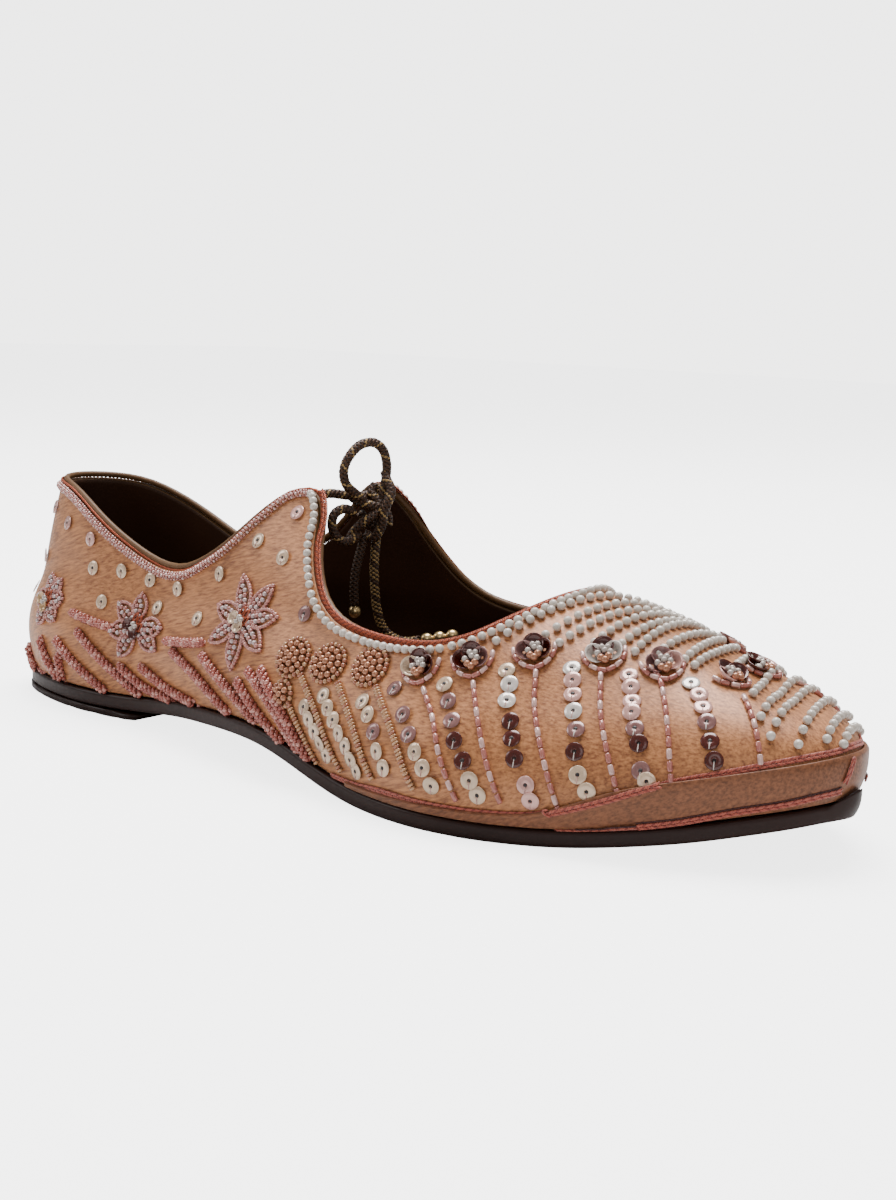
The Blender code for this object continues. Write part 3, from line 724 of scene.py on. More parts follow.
def set_bits(name, bits, look):
    """Copy each bit's kind to its place, all joined in one mesh with a tint for each corner."""
    all_corners, all_faces, all_tints, first = [], [], [], 0
    for bit in bits:
        corners, faces = KINDS[bit.kind]
        size = bit.size if isinstance(bit.size, tuple) else (bit.size,) * 3
        side = bit.out.cross(bit.along).normalized()
        axes = np.array([tuple(side.cross(bit.out)), tuple(side), tuple(bit.out)])
        all_corners.append(corners * size @ axes + np.array(bit.spot + bit.out * bit.lift))
        all_faces.append(faces + first)
        all_tints.append(np.tile((*bit.tint, 1.0), (len(corners), 1)))
        first += len(corners)
    return tinted_piece(name, np.concatenate(all_corners).tolist(), np.concatenate(all_faces).tolist(),
                        np.concatenate(all_tints), look)


def tinted_piece(name, corners, faces, tints, look):
    """A joined mesh with a tint on each corner, riding on the shoe."""
    mesh = bpy.data.meshes.new(name)
    mesh.from_pydata(corners, [], faces)
    paint = mesh.color_attributes.new("tint", "FLOAT_COLOR", "POINT")
    paint.data.foreach_set("color", np.array(tints).ravel())
    mesh.materials.append(look)
    mesh.shade_smooth()
    piece = bpy.data.objects.new(name, mesh)
    bpy.context.scene.collection.objects.link(piece)
    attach(piece, "root")
    print(f"{name}: {sum(len(face.vertices) - 2 for face in mesh.polygons)} triangles")
    return piece


print("white is", [round(level, 2) for level in colour_of(255, 255, 255)])

# %% [markdown]
# The rim is a rolled leather edge, brown where the lining turns over it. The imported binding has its
# form, so it is dressed like the other solids. Its middle line is needed too, for all that is sewn
# along it. It could be traced in the photo, but half of it is hidden, so it is read from the
# binding's own rings of corners.

# %% The rolled edge and the rim's line
def ring_centres(node, short_edge):
    """The points down the middle of a closed tube: its corners grouped into rings, in order."""
    shell = bmesh.new()
    shell.from_mesh(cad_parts[node].data)
    bmesh.ops.remove_doubles(shell, verts=shell.verts, dist=MERGE)
    group, rings = {}, []
    for start in shell.verts:
        if start in group:
            continue
        waiting, members = [start], []
        group[start] = len(rings)
        while waiting:
            vertex = waiting.pop()
            members.append(vertex)
            for edge in vertex.link_edges:
                other = edge.other_vert(vertex)
                if other not in group and edge.calc_length() < short_edge:
                    group[other] = len(rings)
                    waiting.append(other)
        rings.append(members)
    centres = [sum((vertex.co for vertex in members), Vector()) / len(members) for members in rings]
    links = {k: {group[edge.other_vert(vertex)] for vertex in members for edge in vertex.link_edges}
             - {k} for k, members in enumerate(rings)}
    order, here, last = [0], min(links[0]), 0
    while here != 0:
        order.append(here)
        here, last = next(k for k in links[here] if k != last), here
    shell.free()
    return [centres[k] for k in order]


edge_shell = merged_copy("collar_binding")
rolled_edge = smoothed(into_piece("rolled_edge", edge_shell, [EDGE_LEATHER]), 1)
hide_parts("collar_binding")

RING_EDGE = 1.2 * MM           # edges shorter than this go round the binding
RIM_STEP = 0.5 * MM
rim = evenly(smooth_line(ring_centres("collar_binding", RING_EDGE), 3), RIM_STEP, closed=True)
RIM_BACK, RIM_FRONT = min(point.x for point in rim), max(point.x for point in rim)
print("rim", round(len(rim) * RIM_STEP / MM), "mm round")

# %% [markdown]
# Stitches on the rim also need to know which way is out of the cloth. The binding is round, so it
# can't say. The satin a little below it can, and its answers are averaged along the rim, so that the
# rows don't jump where the throat turns.

# %% Which way is out, all along the rim
PROBE = 2.5 * MM               # how far outside and below the rim the satin is asked
HEEL_BEND, THROAT_BEND = 20 * MM, 22 * MM  # how far in from its ends the opening turns
SPREAD = 6                     # points on either side that are averaged


def rim_out(point):
    """The way out of the cloth a little below the rim, found away from the opening."""
    core_x = min(max(point.x, RIM_BACK + HEEL_BEND), RIM_FRONT - THROAT_BEND)
    away = Vector((point.x - core_x, point.y - MIDDLE_Y, 0)).normalized()
    return nearest(point + away * PROBE - Vector((0, 0, PROBE)))[1]


raw = [rim_out(point) for point in rim]
count = len(rim)
rim_line = []
for k, point in enumerate(rim):
    run = (rim[(k + 2) % count] - rim[k - 2]).normalized()
    out = sum((raw[(k + step) % count] for step in range(-SPREAD, SPREAD + 1)), Vector())
    out = (out - run * out.dot(run)).normalized()
    rim_line.append((point, run, out))
drop_sum = sum(run.cross(out).z for _, run, out in rim_line)
DOWN_SIDE = 1 if drop_sum < 0 else -1


def rim_spot(k, outwards, down):
    """A place beside the rim: so far out of the cloth and so far down from the rim's middle."""
    point, run, out = rim_line[k % count]
    below = run.cross(out) * DOWN_SIDE
    return point + out * outwards + below * down, run, out, below


print("ways out:", len(rim_line))

# %% [markdown]
# Round the throat and up the ears, three columns of slanted copper stitches make a braid on the outer
# side of the rolled edge. Behind the ears a single copper line takes its place. A braid could be one
# tube with a bump, but real stitches catch the light one by one.

# %% The copper braid and the copper line
EAR_X = -0.0115                # the ears' tips, which part the collar from the throat
BRAID_REACH = 0.95 * MM        # from the rim's middle to the stitches
BRAID_STITCH = (0.62 * MM, 0.24 * MM, 0.2 * MM)
BRAID_SLANT = 0.85
COLUMNS = ((0, 38), (1, -2), (2, -42))  # each column's number and its angle up from the outer side
LINE_OUT, LINE_DOWN = 0.72 * MM, 0.62 * MM
LINE_STITCH = (0.6 * MM, 0.3 * MM, 0.26 * MM)
throat_ks = [k for k, point in enumerate(rim) if point.x > EAR_X]
collar_ks = [k for k, point in enumerate(rim) if point.x <= EAR_X]
COPPER_TINT = colour_of(188, 104, 72)
DARK_COPPER = colour_of(140, 72, 50)

braid_bits = []
for k in throat_ks:
    for column, angle in COLUMNS:
        tip = math.radians(angle)
        spot, run, out, below = rim_spot(k, BRAID_REACH * math.cos(tip), -BRAID_REACH * math.sin(tip))
        face = (out * math.cos(tip) - below * math.sin(tip)).normalized()
        slant = 1 if column % 2 else -1
        along = (run + face.cross(run) * BRAID_SLANT * slant).normalized()
        tint = DARK_COPPER if (k + column) % 3 == 0 else COPPER_TINT
        braid_bits.append(Bit("stitch", spot, along, face, BRAID_STITCH, tint, 0))
set_bits("throat_braid", braid_bits, COPPER)

copper_bits = []
for k in collar_ks:
    spot, run, out, below = rim_spot(k, LINE_OUT, LINE_DOWN)
    copper_bits.append(Bit("stitch", spot, (run + below * 0.5).normalized(), out, LINE_STITCH,
                           COPPER_TINT, 0))
set_bits("collar_copper_line", copper_bits, COPPER)

# %% [markdown]
# A row of white pearls touches the braid round the throat. Behind the ears a rope of pink seed beads
# follows the copper line: four beads lie across it, slanted and higher in the middle. Both are set
# on the cloth just below the rim, at even steps along it.

# %% The pearl row and the bead rope under the rim
PEARL_RADIUS = 1.0 * MM
PEARL_LIFT = 0.8 * MM          # a pearl is sewn down, so it stands less than its radius high
ROW_PITCH = 2.05 * MM
JUMP, AFTER_JUMP = 2.0 * MM, 2.1 * MM  # a gap in the rim's line, after which a pearl comes at once
ROW_OUT, ROPE_OUT, ROW_DOWN = 1.4 * MM, 1.3 * MM, 2.15 * MM
ROPE_SEED = (0.45 * MM, 0.36 * MM, 0.38 * MM)
ROPE_HIGH, ROPE_LOW = 0.95 * MM, 0.5 * MM
ROPE_APART, ROPE_SHIFT, ROPE_SLANT = 0.5 * MM, 0.38 * MM, 0.75
PINK_BEAD = colour_of(206, 150, 142)
# A paler pink that is a painted highlight: it stands for the glint of the glass beads.
HIGHLIGHT_BEAD = colour_of(238, 208, 202)
WHITE = colour_of(222, 213, 203)
throat_pearls = []
walked = 0.0
for before, k in zip(throat_ks, throat_ks[1:]):
    step = (rim[k] - rim[before]).length
    walked += step if step < JUMP else AFTER_JUMP
    if walked >= ROW_PITCH:
        walked -= ROW_PITCH
        spot, run, out, below = rim_spot(k, ROW_OUT, ROW_DOWN)
        place, normal = nearest(spot)
        throat_pearls.append(Bit("pearl", place, run, normal, PEARL_RADIUS, WHITE, PEARL_LIFT))
set_bits("throat_pearls", throat_pearls, PEARL)

rope_bits = []
for k in collar_ks[::2]:
    for step in (-1.5, -0.5, 0.5, 1.5):
        spot, run, out, below = rim_spot(k, ROPE_OUT, ROW_DOWN + step * ROPE_APART)
        slant = (run * ROPE_SLANT + below).normalized()
        place, normal = nearest(spot + run * step * ROPE_SHIFT)
        height = ROPE_HIGH if abs(step) < 1 else ROPE_LOW
        # Every third bead, shifted from one step to the next, gets the paler pink: slanted lines of painted
        # highlight.
        tint = HIGHLIGHT_BEAD if (k // 2 + int(step * 2)) % 3 == 0 else PINK_BEAD
        rope_bits.append(Bit("seed", place, slant, normal, ROPE_SEED, tint, height))
set_bits("collar_bead_rope", rope_bits, GLASS_BEAD)

# %% [markdown]
# The tie is a braided cord, dark brown with gold threads. A braid could be a pattern on a smooth
# tube, but its edge would stay smooth too. So it is built as a braider does it: a core, four strands
# that wind round it one way and four the other way. Blender's curves give each strand its
# thickness, and all of them become one mesh.

# %% Strands and tubes
def set_tubes(name, parts, look):
    """Thread or cord along lines, all in one mesh: each part is (lines, radius, tint)."""
    corners, faces, tints = [], [], []
    for lines, radius, tint in parts:
        curve = bpy.data.curves.new(name, "CURVE")
        curve.dimensions = "3D"
        curve.bevel_depth = radius
        curve.bevel_resolution = 1
        curve.use_fill_caps = True
        for line in lines:
            spline = curve.splines.new("POLY")
            spline.points.add(len(line) - 1)
            spline.points.foreach_set("co", np.array([(*point, 1) for point in line]).ravel())
        holder = bpy.data.objects.new(name + "_line", curve)
        tube = bpy.data.meshes.new_from_object(holder)
        faces += [[corner + len(corners) for corner in face.vertices] for face in tube.polygons]
        corners += [tuple(vertex.co) for vertex in tube.vertices]
        tints += [(*tint, 1.0)] * len(tube.vertices)
        bpy.data.objects.remove(holder)
        bpy.data.meshes.remove(tube)
    return tinted_piece(name, corners, faces, tints, look)


def twist(line, strands, radius, pitch, lift=0.0, phase=0.0, fade=True):
    """Strands that wind round a line of (place, along, out), thinner at both ends."""
    wound = [[] for _ in range(strands)]
    reach = 0.0
    for k, (place, run, normal) in enumerate(line):
        if k:
            reach += (place - line[k - 1][0]).length
        side = normal.cross(run)
        inset = min(1.0, 0.35 + min(k, len(line) - 1 - k) / 3) if fade else 1.0
        for s in range(strands):
            turn = math.tau * (reach / pitch + s / strands) + phase
            off = (side * math.cos(turn) + normal * math.sin(turn)) * radius * inset
            wound[s].append(place + normal * lift * inset + off)
    return wound


print("a line can be wound with strands, and lines become tubes")

# %% A braid along a line
CORD = 2.4 * MM
STRAND = 0.40 * MM
BRAID_STEP = 0.4 * MM          # from one point of a strand to the next
BRAID_TURN = 4.2 * MM          # a strand goes once round the core in this length
WAY_BACK = 0.3                 # radians: where the other four strands start
DARK_BRAID = colour_of(74, 50, 34)
MID_BRAID = colour_of(112, 78, 50)
GOLD_BRAID = colour_of(206, 172, 120)


def carried_frames(line):
    """A (place, along, out) for each point, with the way out turned as little as it can be."""
    frames, out = [], Vector((0, 0, 1))
    for k, place in enumerate(line):
        run = (line[min(k + 1, len(line) - 1)] - line[max(k - 1, 0)]).normalized()
        out = out - run * out.dot(run)
        if out.length < 1e-3:
            out = run.orthogonal()
        out = out.normalized()
        frames.append((place, run, out))
    return frames


def braid_parts(points, gold):
    """The core and the eight strands along a line, as parts for set_tubes; so many are gold."""
    frames = carried_frames(evenly(smooth_line(points), BRAID_STEP))
    radius = CORD / 2 - STRAND
    one_way = twist(frames, 4, radius, BRAID_TURN, fade=False)
    other_way = twist(frames, 4, radius, -BRAID_TURN, phase=WAY_BACK, fade=False)
    return [([[place for place, _, _ in frames]], radius, DARK_BRAID), (one_way, STRAND, DARK_BRAID),
            (other_way[:gold], STRAND, GOLD_BRAID), (other_way[gold:], STRAND, MID_BRAID)]


print("a cord is", round(CORD / MM, 1), "mm thick")

# %% [markdown]
# The tie is knotted over the instep: two loops, two ends and a bar behind them from ear to ear. It
# could be drawn on the photo again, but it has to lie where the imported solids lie, so its routes are
# the points that the solids were made from.

# %% The bar, the loops and the ends
BACK_X = -0.1237               # the back of the sole, where the routes' own numbers start


def routed(points):
    """A route's points, moved from the sole's back and middle line to the model's frame."""
    return [Vector((x + BACK_X, y + MIDDLE_Y, z)) for x, y, z in points]


TIE_BAR = [(0.1093, -0.0106, 0.0627), (0.1108, -0.0076, 0.0632), (0.1122, -0.0038, 0.0627),
           (0.1134, 0.0005, 0.0623), (0.1136, 0.0042, 0.0627), (0.1124, 0.0074, 0.0632),
           (0.1097, 0.0104, 0.0629)]
UPPER_LOOP = [(0.1170, 0.0034, 0.0616), (0.1174, 0.0041, 0.0640), (0.1176, 0.0047, 0.0670),
              (0.1177, 0.0047, 0.0704), (0.1172, 0.0037, 0.0738), (0.1164, 0.0010, 0.0756),
              (0.1154, -0.0027, 0.0750), (0.1146, -0.0057, 0.0722), (0.1142, -0.0070, 0.0688),
              (0.1146, -0.0063, 0.0656), (0.1152, -0.0037, 0.0634), (0.1158, -0.0012, 0.0617)]
LOWER_LOOP = [(0.1147, -0.0034, 0.0588), (0.1139, -0.0062, 0.0597), (0.1132, -0.0087, 0.0585),
              (0.1130, -0.0093, 0.0559), (0.1134, -0.0082, 0.0532), (0.1141, -0.0061, 0.0517),
              (0.1149, -0.0038, 0.0522), (0.1155, -0.0019, 0.0537)]
FRONT_END = [(0.1170, 0.0026, 0.0526), (0.1171, 0.0022, 0.0495), (0.1171, 0.0020, 0.0450),
             (0.1172, 0.0024, 0.0395), (0.1175, 0.0032, 0.0343), (0.1184, 0.0046, 0.0298),
             (0.1202, 0.0070, 0.0272), (0.1225, 0.0094, 0.0265), (0.1247, 0.0111, 0.0270)]
BACK_END = [(0.1152, 0.0001, 0.0525), (0.1150, -0.0008, 0.0492), (0.1148, -0.0021, 0.0446),
            (0.1149, -0.0027, 0.0400), (0.1151, -0.0026, 0.0362)]
KNOT = routed([(0.1162, 0.0010, 0.0572)])[0]

for name, node, route, gold in (("tie_bar_braid", "tie_bar", TIE_BAR, 1),
                                ("upper_loop_braid", "loop_upper", UPPER_LOOP, 1),
                                ("lower_loop_braid", "loop_lower", LOWER_LOOP, 1),
                                ("front_end_braid", "end_front", FRONT_END, 3),
                                ("back_end_braid", "end_back", BACK_END, 0)):
    set_tubes(name, braid_parts(routed(route), gold), BRAID)
    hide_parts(node)

# %% [markdown]
# The knot is where the strands cross, not a ball. Its strands are drawn on a plane through the knot
# that faces the eye, each with its own height before or behind that plane, and braided like the rest.

# %% The knot
def on_knot_plane(x, y, forward):
    """A photo place on the plane through the knot, moved towards the eye."""
    way = ray_through(x, y)
    reach = (KNOT - EYE).dot(ahead) / way.dot(ahead)
    return EYE + way * reach - ahead * forward


# Each strand of the knot: places in the photo, each with its height towards the eye in mm
KNOT_STRANDS = [
    [(385, 472, -0.4), (387, 480, 0.8), (391, 488, 1.6), (390, 499, 2.4), (384, 512, 2.6), (382, 526, 1.6),
     (374, 538, 0.2), (366, 533, -1.5)],
    [(346, 492, -0.6), (356, 500, 1.2), (368, 505, 2.2), (379, 508, 1.4), (387, 514, -0.2), (388, 524, -1.6)],
    [(374, 484, -1.4), (372, 494, -0.4), (380, 503, 0.4), (376, 514, 2.0), (365, 522, 2.6), (356, 530, 1.6),
     (350, 538, 0.0)],
    [(360, 512, -1.8), (370, 524, -2.4), (382, 517, -2.6), (386, 500, -2.6), (376, 488, -2.2)],
]
knot_parts = []
for strand in KNOT_STRANDS:
    knot_parts += braid_parts([on_knot_plane(x, y, forward * MM) for x, y, forward in strand], 1)
knot_braid = set_tubes("knot_braid", knot_parts, BRAID)
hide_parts("knot")

# %% [markdown]
# Gold beads weigh down the two ends, and their solids have the true form. Of the cord's stretches,
# only the upper loop and the front end are 30 mm or longer, and the path of each is traced in even
# steps of a millimetre.

# %% The beads on the ends, and the cords' paths
for node, label in (("beads_front", "front_end_beads"), ("beads_back", "back_end_bead")):
    shell = merged_copy(node)
    piece = smoothed(into_piece(label, shell, [GOLD]), 1)
    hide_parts(node)

PATH_STEP = 1.0 * MM
for node, route, far_end, beads in (("loop_upper", UPPER_LOOP, "knot", ()),
                                    ("end_front", FRONT_END, "bare", ("beads_front",))):
    path = evenly(smooth_line(routed(route)), PATH_STEP)

# %% [markdown]
# The embroidery was set out from the photo: each motif is a place there, dropped onto the
# cloth. Pearls come first. Rows of them cross the vamp from side to side, and the photo shows the
# near half of each. Two places there give a row's direction in plan, and the row runs on straight
# across to the far side. Most rows have their pearls wider apart towards both ends.

# %% Pearl rows over the vamp
# Each row: where it starts on the near side, a place near the ridge, and its first pitch in mm
VAMP_ROWS = [((497, 643), (600, 599), 3.2), ((546, 637), (626, 606), 3.2), ((560, 645), (636, 613), 2.9),
             ((595, 645), (648, 618), 2.4), ((622, 646), (660, 625), 2.4), ((635, 654), (680, 627), 2.4),
             ((657, 657), (690, 638), 2.5), ((684, 662), (709, 645), 2.4), ((694, 668), (725, 652), 2.4),
             ((736, 667), (746, 661), 2.4), ((757, 671), (765, 666), 2.4), ((752, 696), (782, 668), 2.9),
             ((760, 719), (799, 676), 3.5), ((770, 738), (817, 684), 4.0), ((797, 746), (835, 699), 4.2),
             ((825, 741), (848, 714), 2.8), ((841, 746), (856, 731), 2.6)]
RIDGE_PITCH, TOE_RIDGE_PITCH = 2.3 * MM, 3.0 * MM
TOE_ROWS = 750                 # photo pixels: rows that start farther right have wider gaps
ROW_TRIES = 400                # steps that look for the next pearl's place
ABOVE = 0.12                   # metres: a height above the whole shoe
FLAT_ENOUGH, LOWEST = 0.3, 12 * MM  # cloth steeper or lower than this carries no row
LEAST_SHARE = 0.6              # a row reaches at least this share of its seen half past the ridge
CLOSING = 3.2                  # how fast the pitch closes from a row's ends to the ridge


def top_of_vamp(x, y):
    """The cloth straight below a place in plan, or None past its edge."""
    place, normal, _, _ = SKIN.ray_cast(Vector((x, y, ABOVE)), Vector((0, 0, -1)))
    return (place, normal) if place and normal.z > FLAT_ENOUGH and place.z > LOWEST else None


row_bits = []
for near, ridge, pitch in VAMP_ROWS:
    start, over = drop(*near)[0], drop(*ridge)[0]
    across = over.xy - start.xy
    middle = np.interp(over.x, MIDDLE_XS, MIDDLE_YS)
    whole = 2 * max(middle - start.y, LEAST_SHARE * across.y) / max(across.y, 1 * MM)
    ridge_pitch = TOE_RIDGE_PITCH if near[0] > TOE_ROWS else RIDGE_PITCH
    walked, last = pitch * MM, start
    for share in np.linspace(0, 1, ROW_TRIES):
        found = top_of_vamp(*(start.xy + across * whole * share))
        if not found:
            continue
        walked += (found[0] - last).length
        last = found[0]
        edge = min(share, 1 - share)
        if walked >= pitch * MM + (ridge_pitch - pitch * MM) * min(edge * CLOSING, 1):
            walked = 0.0
            place, normal = found
            row_bits.append(Bit("pearl", place, Vector((0, 1, 0)), normal, PEARL_RADIUS, WHITE, PEARL_LIFT))
set_bits("vamp_pearls", row_bits, PEARL)

# %% [markdown]
# Sequins are thin discs with a hole, sewn on with a thread. They hang in strings down the side, paler
# at both ends and brown in between, and a few are scattered over the quarter. An even pattern would
# look printed, so each one has its own place from the photo and leans a little differently, and no
# two catch the light alike.

# %% Where the sequins hang
SEQUIN_RADIUS = 1.95 * MM
HOLE, HOLE_LIFT = (0.5 * MM, 0.5 * MM, 0.25 * MM), 0.5 * MM
THREAD_ASIDE, THREAD_LIFT = 1.0 * MM, 0.68 * MM
TIE_STITCH = (0.95 * MM, 0.13 * MM, 0.13 * MM)
LEAN, BACKWARDS, SIDE_LEAN = 0.10, -0.6, 0.05
DARKEST, TINT_STEP = 0.92, 0.04
DISC_LIFT, DISC_STEP = 0.45, 0.2       # mm
# Cream, white, pink, lilac, brown and gold
SHADES = {"c": colour_of(230, 204, 178), "w": colour_of(240, 230, 222), "p": colour_of(228, 184, 174),
          "l": colour_of(160, 122, 118), "b": colour_of(104, 46, 32), "g": colour_of(214, 180, 140)}
DARK_THREAD = colour_of(48, 26, 20)
STRINGS = [
    [(305, 707, "c"), (310, 719, "c"), (315, 731, "c"), (321, 743, "c"), (327, 755, "c")],
    [(324, 696, "c"), (329, 708, "c"), (334, 720, "c"), (340, 733, "c"), (346, 746, "c"), (352, 759, "c"),
     (357, 771, "c")],
    [(363, 702, "c"), (369, 715, "c"), (374, 732, "l"), (378, 751, "c"), (384, 768, "c")],
    [(395, 689, "l"), (404, 715, "l"), (409, 735, "l"), (416, 752, "c"), (423, 768, "c"), (432, 785, "c")],
    [(445, 685, "c"), (449, 702, "l"), (452, 721, "l"), (455, 741, "b"), (463, 761, "b"), (470, 780, "c"),
     (478, 795, "c")],
    [(507, 671, "c"), (510, 685, "w"), (507, 701, "w"), (511, 722, "b"), (512, 739, "b"), (515, 759, "b"),
     (526, 785, "p"), (531, 800, "p")],
    [(572, 669, "w"), (573, 681, "p"), (573, 695, "p"), (574, 712, "w"), (576, 730, "l"), (575, 752, "b"),
     (578, 775, "c"), (587, 791, "c")],
    [(629, 676, "p"), (631, 688, "p"), (632, 702, "p"), (632, 713, "p"), (635, 729, "l"), (639, 744, "b"),
     (641, 771, "l"), (647, 781, "c")],
    [(691, 684, "w"), (699, 696, "p"), (703, 708, "p"), (707, 723, "l"), (710, 742, "b"), (714, 761, "b")],
]
SCATTERED = [(69, 523, "p"), (92, 539, "p"), (94, 568, "c"), (123, 571, "c"), (151, 580, "c"),
             (103, 602, "c"), (158, 608, "c"), (179, 589, "c"), (198, 619, "c"), (221, 574, "c"),
             (259, 541, "c"), (284, 558, "c"), (298, 513, "p"), (306, 614, "l"), (57, 507, "p"),
             (48, 555, "p"), (34, 585, "p")]
print("sequins:", sum(len(string) for string in STRINGS) + len(SCATTERED), "on each side")


# %% Sequins and their threads
def sequin_at(x, y, shade, order):
    """A sequin, the dark thread in its hole and a short stitch out to its edge."""
    place, normal = drop(x, y)
    down = Vector((0, 0, -1)) - normal * normal.dot(Vector((0, 0, -1)))
    down.normalize()
    lean = LEAN * (1 if order % 2 else BACKWARDS)
    face = (normal + down * lean + normal.cross(down) * SIDE_LEAN * (order % 3 - 1)).normalized()
    tint = tuple(level * (DARKEST + TINT_STEP * (order * 7 % 5)) for level in SHADES[shade])
    lift = (DISC_LIFT + DISC_STEP * (order % 2)) * MM
    disc = Bit("sequin", place, down, face, SEQUIN_RADIUS, tint, lift)
    hole = Bit("seed", place, down, face, HOLE, DARK_THREAD, HOLE_LIFT)
    thread_tint = SHADES["w"] if shade in "lb" else SHADES["p"]
    tie_stitch = Bit("stitch", place + down * THREAD_ASIDE, down, face, TIE_STITCH, thread_tint,
                     THREAD_LIFT)
    return disc, [hole, tie_stitch]


sequin_bits, sequin_threads = [], []
for string in STRINGS + [SCATTERED]:
    for order, (x, y, shade) in enumerate(string):
        disc, threads = sequin_at(x, y, shade, order)
        sequin_bits.append(disc)
        sequin_threads += threads
set_bits("sequins", sequin_bits + other_side(sequin_bits), SEQUIN)
set_bits("sequin_threads", sequin_threads + other_side(sequin_threads), THREAD)

# %% [markdown]
# Lotus flowers sit where the strings begin. Each is three cupped sequins round a few silver and gold
# beads, held in a cup of long pink beads. A stem of the same long beads runs down to the toe strip.
# A flower could be modelled flat and bent on, but the vamp curves both ways. So a flower has a small
# frame of its own, across and along, and each bead is set on the cloth from there.

# %% A frame for each flower
UPRIGHT = Vector((-0.25, 0, 1))  # a flower stands up and leans a little towards the heel


def frame_at(x, y, towards=None):
    """A place on the cloth with its way up (or towards a second place), sideways and out."""
    place, normal = drop(x, y)
    upwards = (drop(*towards)[0] - place) if towards else UPRIGHT
    upwards = (upwards - normal * upwards.dot(normal)).normalized()
    return place, upwards, upwards.cross(normal).normalized(), normal


def on_frame(base, across, along):
    """A place so far across and along from a frame's own place, set on the cloth."""
    place, upwards, aside, _ = base
    return nearest(place + aside * across * MM + upwards * along * MM)


print("a flower's frame has a place, a way up, a way aside and a way out")

# %% Lotus flowers and bugle stems
PINK_BUGLE = colour_of(200, 136, 126)
PALE_BUGLE = colour_of(234, 196, 188)
SILVER = colour_of(212, 200, 192)
GOLD_PINK = colour_of(196, 142, 112)
CUP_BUGLE = (0.95 * MM, 0.55 * MM, 0.55 * MM)
STEM_BUGLE, STEM_PITCH = (1.08 * MM, 0.6 * MM, 0.6 * MM), 2.45 * MM
LOTUSES = [((421, 671), "cbb"), ((473, 664), "bbl"), ((535, 656), "lbb"), ((605, 659), "wbw"),
           ((664, 669), "llp"), ((733, 680), "pbb")]
STEMS = [[(425, 692), (434, 722), (441, 760), (455, 796)], [(474, 686), (478, 720), (486, 760), (499, 798)],
         [(536, 675), (535, 710), (545, 765), (559, 810)], [(601, 678), (601, 715), (609, 760), (618, 793)],
         [(650, 669), (661, 684), (668, 730), (671, 779)], [(744, 700), (753, 722), (760, 760)]]

# A lotus in its frame, in mm across and along from its place: the cups also have their lift, and the
# long beads of the cup have their angle
CUPS = ((-2.4, 1.0, 0.9), (0.0, 2.6, 1.1), (2.4, 1.0, 0.9))
SILVER_SPOTS = ((-1.3, 0.5), (0.2, 1.0), (1.3, 0.4), (-0.3, 1.9), (0.9, 1.7))
GOLD_SPOTS = ((-0.8, -0.6), (0.8, -0.5), (0.0, -1.3))
CUP_TUBES = ((0.9, -3.2, 20), (2.6, -2.2, 42), (3.9, -0.5, 62), (4.4, 1.4, 84))
CUP_RADIUS, CUP_OPEN, CUP_BACK = 2.3 * MM, 0.16, 0.22
SILVER_RADIUS, SILVER_LIFT = 0.72 * MM, 1.7 * MM
GOLD_RADIUS, GOLD_LIFT = 0.85 * MM, 1.4 * MM
TUBE_LIFT, STEM_LIFT = 0.7 * MM, 0.5 * MM


def lotus(x, y, shades):
    """The cupped sequins, the beads and the bead cup of one flower."""
    base = frame_at(x, y)
    _, upwards, aside, _ = base
    cups, beads, golds, tubes = [], [], [], []
    for (across, along, lift), shade in zip(CUPS, shades):
        place, normal = on_frame(base, across, along)
        face = (normal - aside * across * CUP_OPEN - upwards * CUP_BACK).normalized()
        cups.append(Bit("cup", place, upwards, face, CUP_RADIUS, SHADES[shade], lift * MM))
    for across, along in SILVER_SPOTS:
        place, normal = on_frame(base, across, along)
        beads.append(Bit("seed", place, upwards, normal, SILVER_RADIUS, SILVER, SILVER_LIFT))
    for across, along in GOLD_SPOTS:
        place, normal = on_frame(base, across, along)
        golds.append(Bit("pearl", place, upwards, normal, GOLD_RADIUS, GOLD_PINK, GOLD_LIFT))
    for side in (-1, 1):
        for step, (across, along, degrees) in enumerate(CUP_TUBES):
            place, normal = on_frame(base, across * side, along)
            turn = math.radians(degrees)
            run = aside * math.cos(turn) * side + upwards * math.sin(turn)
            tint = PALE_BUGLE if step % 2 else PINK_BUGLE
            tubes.append(Bit("bugle", place, run, normal, CUP_BUGLE, tint, TUBE_LIFT))
    return cups, beads, golds, tubes


cup_bits, silver_bits, gold_bits, bugle_bits = [], [], [], []
for (x, y), shades in LOTUSES:
    for store, made_bits in zip((cup_bits, silver_bits, gold_bits, bugle_bits), lotus(x, y, shades)):
        store += made_bits
for corners in STEMS:
    for k, (place, run, out) in enumerate(line_on_cloth(corners, STEM_PITCH)):
        tint = PALE_BUGLE if k % 3 == 0 else PINK_BUGLE
        bugle_bits.append(Bit("bugle", place, run, out, STEM_BUGLE, tint, STEM_LIFT))
set_bits("lotus_cups", cup_bits + other_side(cup_bits), SEQUIN)
set_bits("lotus_silver", silver_bits + other_side(silver_bits), GLASS_BEAD)
set_bits("bugle_beads", bugle_bits + other_side(bugle_bits), GLASS_BEAD)

# %% [markdown]
# At the waist four round clusters of gold-pink pearls stand on stems of small beads that lie across
# the stem, packed as tight as they go. A cluster is rings of six, twelve and so on round a middle
# pearl, the tightest way to pack round beads, and it is lower towards its edge.

